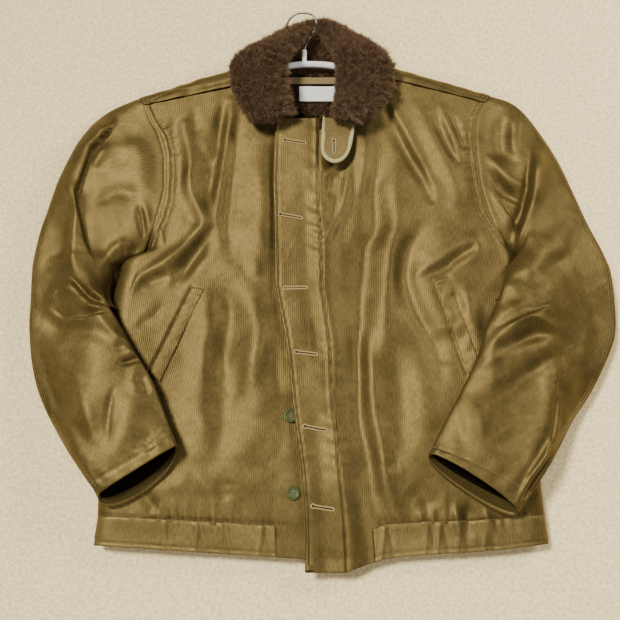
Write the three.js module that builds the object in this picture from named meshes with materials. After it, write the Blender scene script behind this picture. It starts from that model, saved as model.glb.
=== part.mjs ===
// Deck jacket laid flat on its back, front up, with its hanger inside. Millimetres, Z up.
// X runs across the jacket, Y runs from the hem to the collar, Z = 0 is the surface it lies on.
import * as THREE from 'three';

// Driving sizes
const centreX = -16.5;       // moves the measured layout so that the box is centred in X
const centreY = -40.3;       // the same in Y
const clothWall = 2.6;       // corded cloth with its backing
const bandWall = 3.4;        // doubled cloth of the hem band
const placketWall = 4;       // doubled cloth of the placket
const seamGap = 0.4;         // space between sewn pieces
const sideSeamHeight = 18;   // the side seam above the floor
const frontRise = 24;        // from the side seam up to the front
const backRise = 17.6;       // from the floor up to the side seam
const frontRoll = 26;        // how far in the front starts to roll down
const backRoll = 22;         // the same on the back
const shoulderRoll = 21;     // radius of the fold over the shoulder
const placketLift = 8.6;     // the placket above the right front
const sleeveRest = 1.6;      // forearm above the front it lies on
const piledHeight = 32;      // thickness of the pile collar

const group = new THREE.Group();

// Small maths
const smooth = (a, b, t) => {
  const k = Math.min(1, Math.max(0, (t - a) / (b - a)));
  return k * k * (3 - 2 * k);
};
const mix = (a, b, t) => a + (b - a) * t;
const clamp = (t, a, b) => Math.min(b, Math.max(a, t));
const unit = (a) => {
  const l = Math.hypot(...a) || 1;
  return a.map((c) => c / l);
};

// Rows of numbers read as a smooth curve; t counts rows
function rowAt(rows, t) {
  const n = rows.length - 1;
  const i = clamp(Math.floor(t), 0, n - 1);
  const f = clamp(t, 0, n) - i;
  return rows[i].map((b, c) => {
    const a = rows[Math.max(0, i - 1)][c];
    const d = rows[i + 1][c];
    const e = rows[Math.min(n, i + 2)][c];
    let m0 = (d - a) / 2;
    let m1 = (e - b) / 2;
    if ((b - a) * (d - b) <= 0 && i > 0) m0 = 0;
    if ((d - b) * (e - d) <= 0 && i < n - 1) m1 = 0;
    const lim = 3 * Math.abs(d - b);
    m0 = clamp(m0, -lim, lim);
    m1 = clamp(m1, -lim, lim);
    const f2 = f * f;
    const f3 = f2 * f;
    return b * (2 * f3 - 3 * f2 + 1) + m0 * (f3 - 2 * f2 + f) + d * (3 * f2 - 2 * f3) + m1 * (f3 - f2);
  });
}

// Value read from a table whose first column rises
function tableAt(rows, x) {
  if (x <= rows[0][0]) return rows[0][1];
  for (let i = 1; i < rows.length; i += 1) {
    if (x <= rows[i][0]) {
      const t = (x - rows[i - 1][0]) / (rows[i][0] - rows[i - 1][0]);
      return mix(rows[i - 1][1], rows[i][1], t);
    }
  }
  return rows[rows.length - 1][1];
}

// A closed body from faces over points
function addSolid(name, points, faces) {
  const geometry = new THREE.BufferGeometry();
  const flat = [];
  points.forEach((p) => flat.push(p[0] + centreX, p[1] + centreY, p[2]));
  geometry.setAttribute('position', new THREE.Float32BufferAttribute(flat, 3));
  geometry.setIndex(faces.flat());
  geometry.computeVertexNormals();
  const mesh = new THREE.Mesh(geometry);
  mesh.name = name;
  group.add(mesh);
  return mesh;
}

// Normal of a surface point(u, v), from short steps on the same surface
function normalOf(point, u, v, flip, fine) {
  const h = 0.02;
  const hu = fine || h;
  const a = point(u + hu, v);
  const b = point(u - hu, v);
  const c = point(u, v + h);
  const d = point(u, v - h);
  const p = [a[0] - b[0], a[1] - b[1], a[2] - b[2]];
  const q = [c[0] - d[0], c[1] - d[1], c[2] - d[2]];
  const n = [p[1] * q[2] - p[2] * q[1], p[2] * q[0] - p[0] * q[2], p[0] * q[1] - p[1] * q[0]];
  return unit(flip ? n.map((t) => -t) : n);
}

// A sheet of cloth with thickness: outer points on a grid, inner points set in along the normals.
// uses(i, j) tells which cells are cloth; edge(u, v) may give the normal at a seam.
function clothSheet(name, { point, us, vs, wall, flip, uses, edge, fine }) {
  const outer = [];
  const inner = [];
  const index = (i, j) => i * vs.length + j;
  us.forEach((u) => vs.forEach((v) => {
    const p = point(u, v);
    const n = (edge && edge(u, v)) || normalOf(point, u, v, flip, fine);
    outer.push(p);
    inner.push([p[0] - n[0] * wall, p[1] - n[1] * wall, p[2] - n[2] * wall]);
  }));
  const count = outer.length;
  const used = (i, j) => i >= 0 && j >= 0 && i < us.length - 1 && j < vs.length - 1
    && (!uses || uses((us[i] + us[i + 1]) / 2, (vs[j] + vs[j + 1]) / 2));
  const faces = [];
  const quad = (a, b, c, d) => {
    if (flip) {
      faces.push([a, c, b], [a, d, c]);
    } else {
      faces.push([a, b, c], [a, c, d]);
    }
  };
  for (let i = 0; i < us.length - 1; i += 1) {
    for (let j = 0; j < vs.length - 1; j += 1) {
      if (used(i, j)) {
        const a = index(i, j);
        const b = index(i + 1, j);
        const c = index(i + 1, j + 1);
        const d = index(i, j + 1);
        quad(a, b, c, d);
        quad(a + count, d + count, c + count, b + count);
        if (!used(i, j - 1)) quad(a, a + count, b + count, b);
        if (!used(i + 1, j)) quad(b, b + count, c + count, c);
        if (!used(i, j + 1)) quad(c, c + count, d + count, d);
        if (!used(i - 1, j)) quad(d, d + count, a + count, a);
      }
    }
  }
  const kept = new Map();
  const points = [];
  const all = outer.concat(inner);
  const renamed = faces.map((f) => f.map((k) => {
    if (!kept.has(k)) {
      kept.set(k, points.length);
      points.push(all[k]);
    }
    return kept.get(k);
  }));
  return addSolid(name, points, renamed);
}

// A closed tube from rings of points, with flat ends
function ringSolid(name, rings, flip) {
  const points = [];
  const faces = [];
  const n = rings[0].length;
  rings.forEach((r) => r.forEach((p) => points.push(p)));
  const tri = (a, b, c) => faces.push(flip ? [a, c, b] : [a, b, c]);
  for (let i = 0; i < rings.length - 1; i += 1) {
    for (let j = 0; j < n; j += 1) {
      const a = i * n + j;
      const b = i * n + ((j + 1) % n);
      tri(a, b, b + n);
      tri(a, b + n, a + n);
    }
  }
  const last = (rings.length - 1) * n;
  [0, last].forEach((start, end) => {
    const ring = rings[end ? rings.length - 1 : 0];
    const mid = [0, 1, 2].map((c) => ring.reduce((s, p) => s + p[c], 0) / n);
    const m = points.push(mid) - 1;
    for (let j = 0; j < n; j += 1) {
      const a = start + j;
      const b = start + ((j + 1) % n);
      if (end) tri(m, a, b);
      else tri(m, b, a);
    }
  });
  return addSolid(name, points, faces);
}

const steps = (a, b, n) => Array.from({ length: n + 1 }, (_, i) => a + ((b - a) * i) / n);

// Folds pressed into the fronts: points along each fold, half width, height (a trough is negative)
const frontFolds = [
  { line: [[-187, 250], [-190, 190]], width: 12, height: -4 },
  { line: [[-116, 288], [-120, 240], [-125, 205], [-134, 160]], width: 12, height: -5 },
  { line: [[-150, 235], [-158, 190], [-170, 150]], width: 12, height: 3 },
  { line: [[-105, 285], [-108, 240], [-113, 200], [-118, 160], [-112, 110]], width: 10, height: 3 },
  { line: [[-140, 120], [-165, 75], [-190, 55], [-215, 35]], width: 11, height: 5 },
  { line: [[-140, 95], [-150, 70], [-165, 50], [-178, 18]], width: 10, height: -6 },
  { line: [[-112, 80], [-130, 60], [-158, 42]], width: 10, height: 4 },
  { line: [[-70, 160], [-68, 100], [-62, 55]], width: 12, height: 2.5 },
  { line: [[-90, 200], [-80, 100]], width: 12, height: -3 },
  { line: [[-115, 30], [-115, -180]], width: 16, height: -4.5 },
  { line: [[-78, 10], [-78, -110]], width: 13, height: 3 },
  { line: [[-50, -110], [-75, -190]], width: 13, height: 2.5 },
  { line: [[-95, -110], [-100, -170]], width: 11, height: -3 },
  { line: [[103, 275], [115, 240], [145, 185], [195, 140]], width: 11, height: 4.5 },
  { line: [[120, 262], [130, 225], [150, 190], [175, 165]], width: 10, height: -5 },
  { line: [[165, 285], [170, 250], [185, 215], [200, 190]], width: 11, height: 4 },
  { line: [[62, 230], [60, 160], [45, 140]], width: 10, height: 2.5 },
  { line: [[95, 200], [88, 120], [75, 40], [65, -40], [60, -120], [60, -200], [62, -290]], width: 15, height: -5 },
  { line: [[110, 200], [112, 120], [105, 50], [88, -60], [83, -150], [88, -200], [110, -260]], width: 13, height: 3.5 },
  { line: [[160, 115], [150, 90], [135, 60], [128, 35], [140, 0]], width: 11, height: -6 },
  { line: [[178, 115], [175, 90], [160, 65], [142, 45]], width: 10, height: 4 },
  { line: [[150, 45], [180, 62], [215, 78]], width: 9, height: 4 },
];

// Folds on the sleeves, by plan position
const sleeveFolds = [
  { line: [[-268, 250], [-295, 215], [-312, 150], [-308, 130], [-285, 60]], width: 10, height: -6 },
  { line: [[-300, 225], [-325, 160], [-325, 60]], width: 13, height: 3 },
  { line: [[-345, 0], [-320, -20], [-280, -25]], width: 12, height: 4 },
  { line: [[-350, 12], [-308, 25], [-270, 10]], width: 10, height: -5 },
  { line: [[-340, -40], [-310, -42], [-255, -55]], width: 11, height: -5 },
  { line: [[275, 255], [279, 225], [288, 208]], width: 10, height: -5 },
  { line: [[300, 180], [290, 125], [280, 95]], width: 11, height: 4.5 },
  { line: [[255, 30], [320, 45]], width: 11, height: -5 },
  { line: [[230, -55], [245, -30], [300, -10]], width: 11, height: 4 },
  { line: [[265, -45], [300, -28], [322, -40]], width: 10, height: -5 },
  { line: [[225, -88], [260, -72], [320, -48]], width: 12, height: 4 },
  { line: [[230, -120], [260, -100], [300, -85]], width: 11, height: -4 },
  { line: [[312, -92], [308, -145], [302, -182], [281, -220]], width: 12, height: 5 },
];

function foldsAt(folds, x, y) {
  let z = 0;
  folds.forEach(({ line, width, height }) => {
    let best = 1e9;
    for (let i = 0; i < line.length - 1; i += 1) {
      const [ax, ay] = line[i];
      const [bx, by] = line[i + 1];
      const dx = bx - ax;
      const dy = by - ay;
      const t = clamp(((x - ax) * dx + (y - ay) * dy) / (dx * dx + dy * dy), 0, 1);
      best = Math.min(best, (x - ax - dx * t) ** 2 + (y - ay - dy * t) ** 2);
    }
    z += height * Math.exp(-best / (width * width));
  });
  return z;
}

// Height of the front's face along the body: [y, z]
const frontFace = [[-345, 21], [-325, 22], [-300, 27], [-275, 33], [-240, 38], [-200, 41], [340, 42]];

// Side seam and armhole, seen from above: [y, x]
const rightEdge = [[-308, -269], [-272, -266], [-225, -267], [-150, -267], [-75, -265], [0, -262], [40, -254],
  [60, -248], [73, -220], [88, -212.5], [104, -207], [130, -199], [160, -195], [205, -196.5], [240, -207],
  [250, -213], [261, -219], [281, -227], [299, -238]];
const leftEdge = [[-306, 297], [-271, 294], [-225, 291], [-150, 289], [-75, 286], [0, 282], [40, 277],
  [64, 273], [82, 262], [104, 247], [125, 237], [162, 230], [205, 226], [236, 225], [248, 226],
  [264, 230], [285, 241], [302, 252]];

// 1 at the side seam, 0 at the armhole: how much of the side roll a row has
const rollShare = (y) => 1 - smooth(52, 108, y);
const rollStart = (y) => Math.asin(1 - rollShare(y));
const edgeOf = (side, y) => tableAt(side < 0 ? rightEdge : leftEdge, y);

// Face height of a front from its plan position
function frontHeight(x, y) {
  const side = x < 0 ? -1 : 1;
  const start = rollStart(y);
  const inFromEdge = Math.max(0, side * (edgeOf(side, y) - x));
  const turn = Math.acos(clamp(Math.cos(start) - inFromEdge / frontRoll, 0, 1));
  const rise = Math.min(frontRise, tableAt(frontFace, y) - sideSeamHeight);
  const fade = smooth(4, 34, inFromEdge) * smooth(-318, -270, y) * smooth(318, 285, y);
  const centre = x < 60 && x > -60 ? smooth(8, 34, Math.abs(x - tableAt(placketMid, y))) : 1;
  return tableAt(frontFace, y) - rise * (1 - Math.sin(turn)) + foldsAt(frontFolds, x, y) * fade * centre;
}

// The placket seen from above: its fold and its stitch line
const placketEdge = [[-342, -5], [-309, -4], [-267, -5], [-218, -9], [-169, -16], [-131, -21], [-92, -25],
  [-66, -28], [-40, -32], [-6, -39], [21, -44], [69, -45], [116, -46], [167, -48], [211, -47], [258, -45]];
const placketStitch = [[-342, 46], [-279, 43], [-230, 38], [-168, 33], [-130, 29], [-92, 28], [-52, 26],
  [-13, 21], [21, 16], [69, 16], [117, 13], [140, 12], [258, 12]];
const placketMid = placketEdge.map(([y, x]) => [y, (x + tableAt(placketStitch, y)) / 2]);

// Fronts, by matched rows: inner end x, y and outer end x, y, with the number of cells up to the next row
const rightRows = [
  [42, -328, -269, -308], [39, -288, -266, -272], [34, -230, -267, -225], [28, -150, -267, -150],
  [23, -75, -265, -75], [14, 0, -262, 0], [11, 40, -254, 40], [11, 64, -248, 60], [10, 82, -220, 73],
  [9, 95, -212.5, 88], [8, 110, -207, 104], [7, 160, -195, 160], [7, 205, -196.5, 205],
  [7, 236, -207, 240], [-10, 250, -213, 250], [-48, 262, -219, 261], [-72, 318, -227, 281]];
const rightCells = [3, 3, 4, 5, 5, 3, 1, 2, 1, 1, 3, 3, 2, 1, 1, 2];
const leftRows = [
  [46.5, -334, 297, -306], [43.5, -293, 294, -271], [38.5, -230, 291, -225], [31, -150, 289, -150],
  [28, -75, 286, -75], [20, 0, 282, 0], [16.5, 40, 277, 40], [16.5, 66, 273, 64], [15, 84, 262, 82],
  [13.5, 104, 247, 104], [13, 125, 237, 125], [12.5, 162, 230, 162], [12.5, 205, 226, 205],
  [12.5, 236, 225, 236], [30, 250, 226, 248], [58, 264, 230, 264], [76, 331, 241, 285]];
const leftCells = [3, 3, 4, 5, 5, 3, 1, 1, 1, 1, 3, 3, 2, 1, 1, 3];

// Even steps over matched rows, ready for rowAt
const rowSteps = (cells, from, to) => {
  const out = [];
  for (let i = from; i < to; i += 1) steps(i, i + 1, cells[i]).slice(0, -1).forEach((t) => out.push(t));
  out.push(to);
  return out;
};

// Across a front: 0 at the inner end, 1 at the end of the hem facing, 2 where the roll starts, 3 at the edge
function frontPoint(side, rows, facingShare, lift) {
  return (u, v) => {
    const [rowX, iy, ox, oy] = rowAt(rows, v);
    const ix = side > 0 && v <= 13 ? tableAt(placketStitch, iy) + 0.5 : rowX;
    const width = Math.hypot(ox - ix, oy - iy);
    const start = rollStart(oy);
    const reach = (frontRoll * Math.cos(start)) / width;
    let s;
    if (u < 1) {
      s = u * facingShare;
    } else if (u < 2) {
      s = mix(facingShare, 1 - Math.max(reach, 0.035), u - 1);
    } else {
      const angle = mix(Math.PI / 2, start, u - 2);
      s = reach > 0.035 ? 1 - reach * (1 - Math.cos(angle) / Math.cos(start)) : 1 - 0.035 * (3 - u);
    }
    const x = mix(ix, ox, s);
    const y = mix(iy, oy, s);
    let z;
    if (u >= 2 && reach > 0.035) {
      const angle = mix(Math.PI / 2, start, u - 2);
      const rise = Math.min(frontRise, tableAt(frontFace, y) - sideSeamHeight);
      z = tableAt(frontFace, y) - rise * (1 - Math.sin(angle));
    } else {
      z = frontHeight(x, y);
    }
    return [x, y, z + (lift ? lift(x, y) : 0)];
  };
}
const leftLift = (x, y) => (placketLift - 1.2) * (1 - smooth(2, 30, x - tableAt(placketStitch, y)));
const rightPoint = frontPoint(-1, rightRows, 0.268, null);
const leftPoint = frontPoint(1, leftRows, 0.135, leftLift);
const acrossSteps = (mid) => [0, 0.34, 0.67, 1].concat(steps(1, 2, mid).slice(1), [2.33, 2.67, 3]);
const leftAcross = [0, 0.5, 1].concat(steps(1, 2, 12).slice(1), [2.33, 2.67, 3]);
const outward = (side, y) => {
  const a = rollStart(y);
  return [side * Math.cos(a), 0, Math.sin(a)];
};

clothSheet('front_right', {
  point: rightPoint, us: acrossSteps(11), vs: rowSteps(rightCells, 0, 16), wall: clothWall, flip: true,
  uses: (u, v) => u < 1 || v > 1,
});
clothSheet('front_left', {
  point: leftPoint, us: leftAcross, vs: rowSteps(leftCells, 0, 16), wall: clothWall, flip: false,
  uses: (u, v) => u < 1 || v > 1,
});
const bandTop = 1 - seamGap / 36;
const bandSteps = [0, 0.33, 0.67, bandTop];
clothSheet('hem_band_right', {
  point: rightPoint, us: [1.002].concat(steps(1, 2, 11).slice(1), [2.33, 2.67, 3]), vs: bandSteps,
  wall: bandWall, flip: true,
});
clothSheet('hem_band_left', {
  point: leftPoint, us: [1.0025].concat(steps(1, 2, 12).slice(1), [2.33, 2.67, 3]), vs: bandSteps,
  wall: bandWall, flip: false,
});

// Back, by matched rows: neck anchor x, y and outer end x, y of each half; rows from 13 up fold over the shoulder
const backRight = [
  [-80, -300, -269, -300], [-80, -264, -266, -264], [-80, -200, -267, -200], [-80, -100, -266, -100],
  [-80, 0, -262, 0], [-80, 40, -254, 40], [-80, 62, -248, 60], [-80, 82, -220, 73], [-80, 110, -207, 104],
  [-80, 160, -195, 160], [-80, 205, -196.5, 205], [-80, 250, -207, 240], [-80, 296, -216, 256],
  [-80, 331, -227, 281]];
const backLeft = [
  [84, -300, 296.5, -300], [84, -264, 293.5, -264], [84, -200, 290.5, -200], [84, -100, 287, -100],
  [84, 0, 282, 0], [84, 40, 277, 40], [84, 66, 273, 64], [84, 86, 262, 82], [84, 110, 247, 104],
  [84, 160, 230, 162], [84, 205, 226, 205], [84, 250, 225, 236], [84, 300, 229, 260], [84, 336, 241, 285]];
const backCells = [2, 1, 2, 2, 1, 1, 1, 1, 2, 1, 2, 2, 2];

// Shoulder folds seen from above: neck end and sleeve end of the fold, and of the line 21 mm inside it
const shoulders = {
  right: { fold: [-84, 352, -238, 299], inside: [-80, 331, -227, 281], seam: [-72, 318.5, -227, 281.4] },
  left: { fold: [88, 356, 252, 302], inside: [84, 336, 241, 285], seam: [76, 331.5, 241, 285.4] },
};

function backPoint(u, v) {
  // u: -3 and 3 at the side seams, -2 and 2 where the roll starts, -1 and 1 at the neck anchors
  const side = u < 0 ? -1 : 1;
  const half = side < 0 ? backRight : backLeft;
  const shoulder = side < 0 ? shoulders.right : shoulders.left;
  const k = Math.abs(u);
  if (v <= 13) {
    const [nx, ny, ox, oy] = rowAt(half, v);
    const start = rollStart(oy);
    const width = Math.hypot(ox - nx, oy - ny);
    const reach = (backRoll * Math.cos(start)) / width;
    if (k <= 1) {
      const mid = [(rowAt(backRight, v)[0] + rowAt(backLeft, v)[0]) / 2,
        (rowAt(backRight, v)[1] + rowAt(backLeft, v)[1]) / 2];
      return [mix(mid[0], nx, k), mix(mid[1], ny, k), 0];
    }
    if (k <= 2) {
      const s = mix(0, 1 - Math.max(reach, 0.05), k - 1);
      return [mix(nx, ox, s), mix(ny, oy, s), 0];
    }
    if (reach <= 0.05) {
      const s = 1 - 0.05 * (3 - k);
      return [mix(nx, ox, s), mix(ny, oy, s), 0];
    }
    const angle = mix(Math.PI / 2, start, k - 2);
    const s = 1 - reach + reach * (Math.cos(angle) / Math.cos(start));
    return [mix(nx, ox, s), mix(ny, oy, s), backRise * (1 - Math.sin(angle))];
  }
  const s = k <= 2 ? mix(0, 0.95, k - 1) : mix(0.95, 1, k - 2);
  const at = (row) => [mix(row[0], row[2], s), mix(row[1], row[3], s)];
  if (v <= 17) {
    // 13 to 15 rises on the floor side, 15 is the fold, 15 to 17 runs forward on top
    const angle = ((15 - v) / 2) * (Math.PI / 2);
    const f = at(shoulder.fold);
    const g = at(shoulder.inside);
    const r = 1 - Math.cos(angle);
    const x = mix(f[0], g[0], r);
    const y = mix(f[1], g[1], r);
    const top = v > 15 ? tableAt(frontFace, y) - shoulderRoll : shoulderRoll;
    return [x, y, shoulderRoll - Math.sin(angle) * top];
  }
  const g = at(shoulder.inside);
  const e = at(shoulder.seam);
  const t = v - 17;
  return [mix(g[0], e[0], t), mix(g[1], e[1], t), tableAt(frontFace, g[1])];
}
const backAcross = [-3, -2.67, -2.33].concat(steps(-2, -1, 4), steps(1, 2, 4), [2.33, 2.67, 3]);
const backRowSteps = rowSteps(backCells, 0, 13).concat([13.5, 14, 14.5, 15, 15.5, 16, 16.5, 17, 18]);
clothSheet('back_panel', {
  point: backPoint, us: backAcross, vs: backRowSteps.filter((v) => v >= 1), wall: clothWall, flip: true,
  uses: (u, v) => v < 13 || Math.abs(u) > 1,
  edge: (u, v) => (Math.abs(u) <= 1 && v <= 13 ? [0, 0, -1] : null),
});
clothSheet('hem_band_back', {
  point: backPoint, us: backAcross, vs: [0, 0.5, bandTop], wall: clothWall, flip: true,
});

// Placket: 0 at its fold, 1 at the stitch line
const placketPoint = (u, v) => {
  const y = mix(-341, 257, v);
  const left = tableAt(placketEdge, y);
  const right = tableAt(placketStitch, y) - 0.3;
  const x = mix(left, right, u);
  return [x, y, tableAt(frontFace, y) + placketLift - 0.8 * (1 - smooth(-0.05, 0.15, u))];
};
clothSheet('placket', {
  point: placketPoint, us: [0, 0.06, 0.14, 0.5, 0.94, 1], vs: steps(0, 1, 30), wall: placketWall, flip: false,
});

// Pocket welts: strips over the fronts, set out from the fronts' own face
const welts = {
  pocket_welt_right: { top: [-153, 19, -139, 16], foot: [-205, -96, -191, -106], side: -1 },
  pocket_welt_left: { top: [163, 27, 180, 33], foot: [203, -96, 220, -90], side: 1 },
};
Object.entries(welts).forEach(([name, { top, foot }]) => {
  const point = (u, v) => {
    const x = mix(mix(top[0], top[2], u), mix(foot[0], foot[2], u), v);
    const y = mix(mix(top[1], top[3], u), mix(foot[1], foot[3], u), v);
    return [x, y, frontHeight(x, y) + 2.9];
  };
  clothSheet(name, { point, us: [0, 0.5, 1], vs: steps(0, 1, 12), wall: 2.1, flip: true });
});
// Lift of the forearm where it crosses a welt
function weltLift(x, y) {
  const right = 1 - smooth(4, 22, Math.hypot(Math.max(0, Math.abs(x + 196) - 14), Math.max(0, Math.abs(y + 90) - 22)));
  const left = 1 - smooth(4, 22, Math.hypot(Math.max(0, Math.abs(x - 208) - 14), Math.max(0, Math.abs(y + 78) - 26)));
  return 3 * Math.max(right, left);
}

// What a forearm lies on: the front of the body, falling to the floor beside it
function restHeight(x, y) {
  const side = x < 0 ? -1 : 1;
  const inside = side * (edgeOf(side, Math.max(-306, y)) - x);
  const face = tableAt(frontFace, Math.max(-255, y));
  const drape = smooth(-62, 2, inside) * (face + sleeveRest);
  const over = inside > 0 ? frontHeight(x, Math.max(-255, y)) + sleeveRest + weltLift(x, y) : 0;
  return Math.max(drape, over);
}

// Armholes seen from above, from the shoulder fold to the armpit
const armholes = {
  right: [[-238, 299], [-231, 289], [-227, 281], [-219, 261], [-207, 240], [-196.5, 205], [-195, 160],
    [-207, 104], [-220, 73], [-248, 60]],
  left: [[252, 302], [245, 293], [241, 285], [230, 264], [225, 236], [226, 205], [230, 162],
    [247, 104], [262, 82], [273, 64]],
};
const armholeShares = [0, 0.03, 0.08, 0.17, 0.26, 0.4, 0.56, 0.78, 0.9, 1];

// Sleeve stations: outer x, y, inner x, y, thickness, share of the rest height used
const sleeves = {
  right: {
    side: -1,
    rows: [
      [-238, 299, -248, 60, 42, 0], [-285, 274, -262, 52, 42, 0], [-322, 225, -265, 38, 41, 0.06],
      [-350, 150, -268, 19, 40, 0.5], [-370, 50, -260, -6, 38, 1], [-369, -30, -246, -30, 34, 1],
      [-355, -105, -222, -70, 33, 1], [-322, -170, -197, -110, 33, 1], [-285, -218, -176, -160, 34, 1],
      [-259, -250, -163, -190, 36, 1]],
    // at the cuff the lower lip reaches further out than the upper one
    lipUnder: -29, lipTop: 0,
  },
  left: {
    side: 1,
    rows: [
      [252, 302, 273, 64, 42, 0], [290, 284, 283, 56, 42, 0], [335, 214, 285, 44, 41, 0.1],
      [372, 118, 278, 28, 40, 0.55], [400, 50, 250, 4, 38, 1], [403, -5, 224, -38, 35, 1],
      [399, -46, 210, -80, 34, 1], [366, -112, 190, -120, 33, 1], [330, -162, 172, -152, 33, 1],
      [295, -214, 158, -178, 33, 1], [254, -271, 146, -202, 34, 1]],
    lipUnder: -14, lipTop: 9,
  },
};
function sleevePoint(key, under) {
  const { side, rows, lipUnder, lipTop } = sleeves[key];
  const hole = armholes[key];
  return (u, v) => {
    // u runs 0 to 1 across, v counts stations
    const [ax, ay, bx, by, thick, share] = rowAt(rows, v);
    const phi = Math.PI * clamp(u, 0, 1);
    const w = (1 - Math.cos(phi)) / 2;
    let x = mix(ax, bx, w);
    let y = mix(ay, by, w);
    const blend = 1 - smooth(0, 1.6, v);
    const i = armholeShares.findIndex((t, k) => k > 0 && w <= t + 1e-9);
    const f = (w - armholeShares[i - 1]) / (armholeShares[i] - armholeShares[i - 1]);
    const hx = mix(hole[i - 1][0], hole[i][0], f);
    const hy = mix(hole[i - 1][1], hole[i][1], f);
    const first = rows[0];
    x += (hx - mix(first[0], first[2], w)) * blend;
    y += (hy - mix(first[1], first[3], w)) * blend;
    const tx = hole[i][0] - hole[i - 1][0];
    const ty = hole[i][1] - hole[i - 1][1];
    const gap = seamGap * (1.3 + 2 * (1 - smooth(0.06, 0.2, w)) + 2 * smooth(0.62, 0.76, w));
    const out = ((side < 0 ? 1 : -1) * gap) / Math.hypot(tx, ty);
    x += ty * out;
    y -= tx * out;
    const last = rows.length - 1;
    y += (under ? lipUnder : lipTop) * Math.sin(phi) ** 0.9 * smooth(last - 0.7, last, v);
    const shape = Math.sin(phi) ** 0.55;
    const rest = share * restHeight(x, y);
    const mid = rest + thick / 2;
    let z = under ? mid - (thick / 2) * shape : mid + (thick / 2) * shape;
    const middle = smooth(0, 0.16, u) * smooth(1, 0.84, u);
    if (!under) z += foldsAt(sleeveFolds, x, y) * middle * smooth(0.2, 1, v);
    // at the armhole the sleeve has the height of the body's edge
    const roll = rollShare(hy);
    const fold = clamp(Math.hypot(hx - hole[0][0], hy - hole[0][1]) / shoulderRoll, 0, 1);
    const rise = Math.sqrt(Math.max(0, 1 - (1 - fold) ** 2));
    const topEdge = fold < 1 ? shoulderRoll + rise * 21 : 42 - frontRise * roll;
    const floorEdge = fold < 1 ? shoulderRoll * (1 - rise) : backRise * roll;
    const start = 1 - smooth(0, 0.8, v);
    z = mix(z, under ? floorEdge : topEdge, start);
    return [x, y, z];
  };
}
// The normal where a sleeve is sewn to the armhole, the same as the body has there
function armholeNormal(key, under) {
  const { side } = sleeves[key];
  const hole = armholes[key];
  return (u, v) => {
    if (v > 0.001) return null;
    const w = (1 - Math.cos(Math.PI * clamp(u, 0, 1))) / 2;
    const i = armholeShares.findIndex((t, k) => k > 0 && w <= t + 1e-9);
    const f = (w - armholeShares[i - 1]) / (armholeShares[i] - armholeShares[i - 1]);
    const hx = mix(hole[i - 1][0], hole[i][0], f);
    const hy = mix(hole[i - 1][1], hole[i][1], f);
    const fold = clamp(Math.hypot(hx - hole[0][0], hy - hole[0][1]) / shoulderRoll, 0, 1);
    const up = under ? -1 : 1;
    if (fold < 1) {
      const c = 1 - fold;
      const s = Math.sqrt(1 - c * c);
      return unit([side * c * 0.4, c * 0.9, up * s]);
    }
    const a = rollStart(hy);
    return unit([side * Math.cos(a), 0, up * Math.sin(a)]);
  };
}
['right', 'left'].forEach((key) => {
  const last = sleeves[key].rows.length - 1;
  const vs = [0, 0.25, 0.5, 0.75].concat(steps(1, last, (last - 1) * 3));
  const flipTop = key === 'right';
  const across = [0.001, 0.07, 0.17, 0.28, 0.4, 0.5, 0.6, 0.72, 0.83, 0.93, 0.999];
  const acrossUnder = [0.001, 0.08, 0.2, 0.31, 0.42, 0.53, 0.64, 0.76, 0.91, 0.999];
  clothSheet(`sleeve_${key}_top`, {
    point: sleevePoint(key, false), us: across, vs, wall: clothWall, flip: flipTop,
    edge: armholeNormal(key, false), fine: 0.003,
  });
  clothSheet(`sleeve_${key}_under`, {
    point: sleevePoint(key, true), us: acrossUnder, vs: vs.filter((v, i) => v < 1 || v > 3.9 || i % 2 === 0),
    wall: clothWall, flip: !flipTop, edge: armholeNormal(key, true), fine: 0.003,
  });
});

// Pile collar: inner x, y, outer x, y, height of its underside, thickness
const collarRows = [
  [-21, 250, -44, 246, 52, 20], [-20, 252, -50, 247, 51, 30], [-23, 262, -72, 246, 51, piledHeight],
  [-27, 280, -93, 268, 47, piledHeight], [-31, 300, -106, 298, 46, piledHeight],
  [-32, 325, -109, 328, 45.5, piledHeight], [-28, 350, -94, 355, 42, piledHeight],
  [-16, 372, -67, 375, 30, 30], [-2, 390, -37, 399, 12, 28], [8, 398, -6, 409, 5, 24],
  [11.5, 399, 10, 409, 4, 20], [15, 398, 23, 409, 5, 24], [20, 385, 46, 400, 12, 28],
  [28, 365, 72, 380, 32, 30], [33, 345, 98, 358, 44, piledHeight], [36, 320, 113, 328, 46, piledHeight],
  [35, 298, 112, 298, 46.5, piledHeight], [33, 275, 101, 275, 49, piledHeight],
  [30, 262, 82, 255, 55.6, 29], [29, 256, 64, 247, 56.2, 26], [30, 254, 60, 246, 56.8, 21]];
const collarRings = steps(0, collarRows.length - 1, 34).map((t) => {
  const [ix, iy, ox, oy, base, thick] = rowAt(collarRows, t);
  return steps(0, 1, 12).slice(0, -1).map((a) => {
    const phi = 2 * Math.PI * a;
    const w = (1 - Math.cos(phi)) / 2;
    const s = Math.sin(phi);
    return [mix(ix, ox, w), mix(iy, oy, w), base + thick / 2 + (thick / 2) * Math.sign(s) * Math.abs(s) ** 0.6];
  });
});
ringSolid('collar', collarRings, true);

// Collar stand: the pile at the back of the neck, lying inside the drop-shaped opening
const standRows = [[-30, 36, 341], [-27, 33, 352], [-20, 28, 366], [-10, 22, 378], [0, 18, 390], [6, 16, 397.2]];
clothSheet('collar_stand', {
  point: (u, v) => {
    const [left, right, y] = rowAt(standRows, v);
    return [mix(left + 1, right - 1, u), y, 13 + 2 * Math.sin(Math.PI * u)];
  },
  us: steps(0, 1, 6), vs: steps(0, 5, 8), wall: 4, flip: false,
  edge: () => [0, 0, 1],
});

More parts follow.
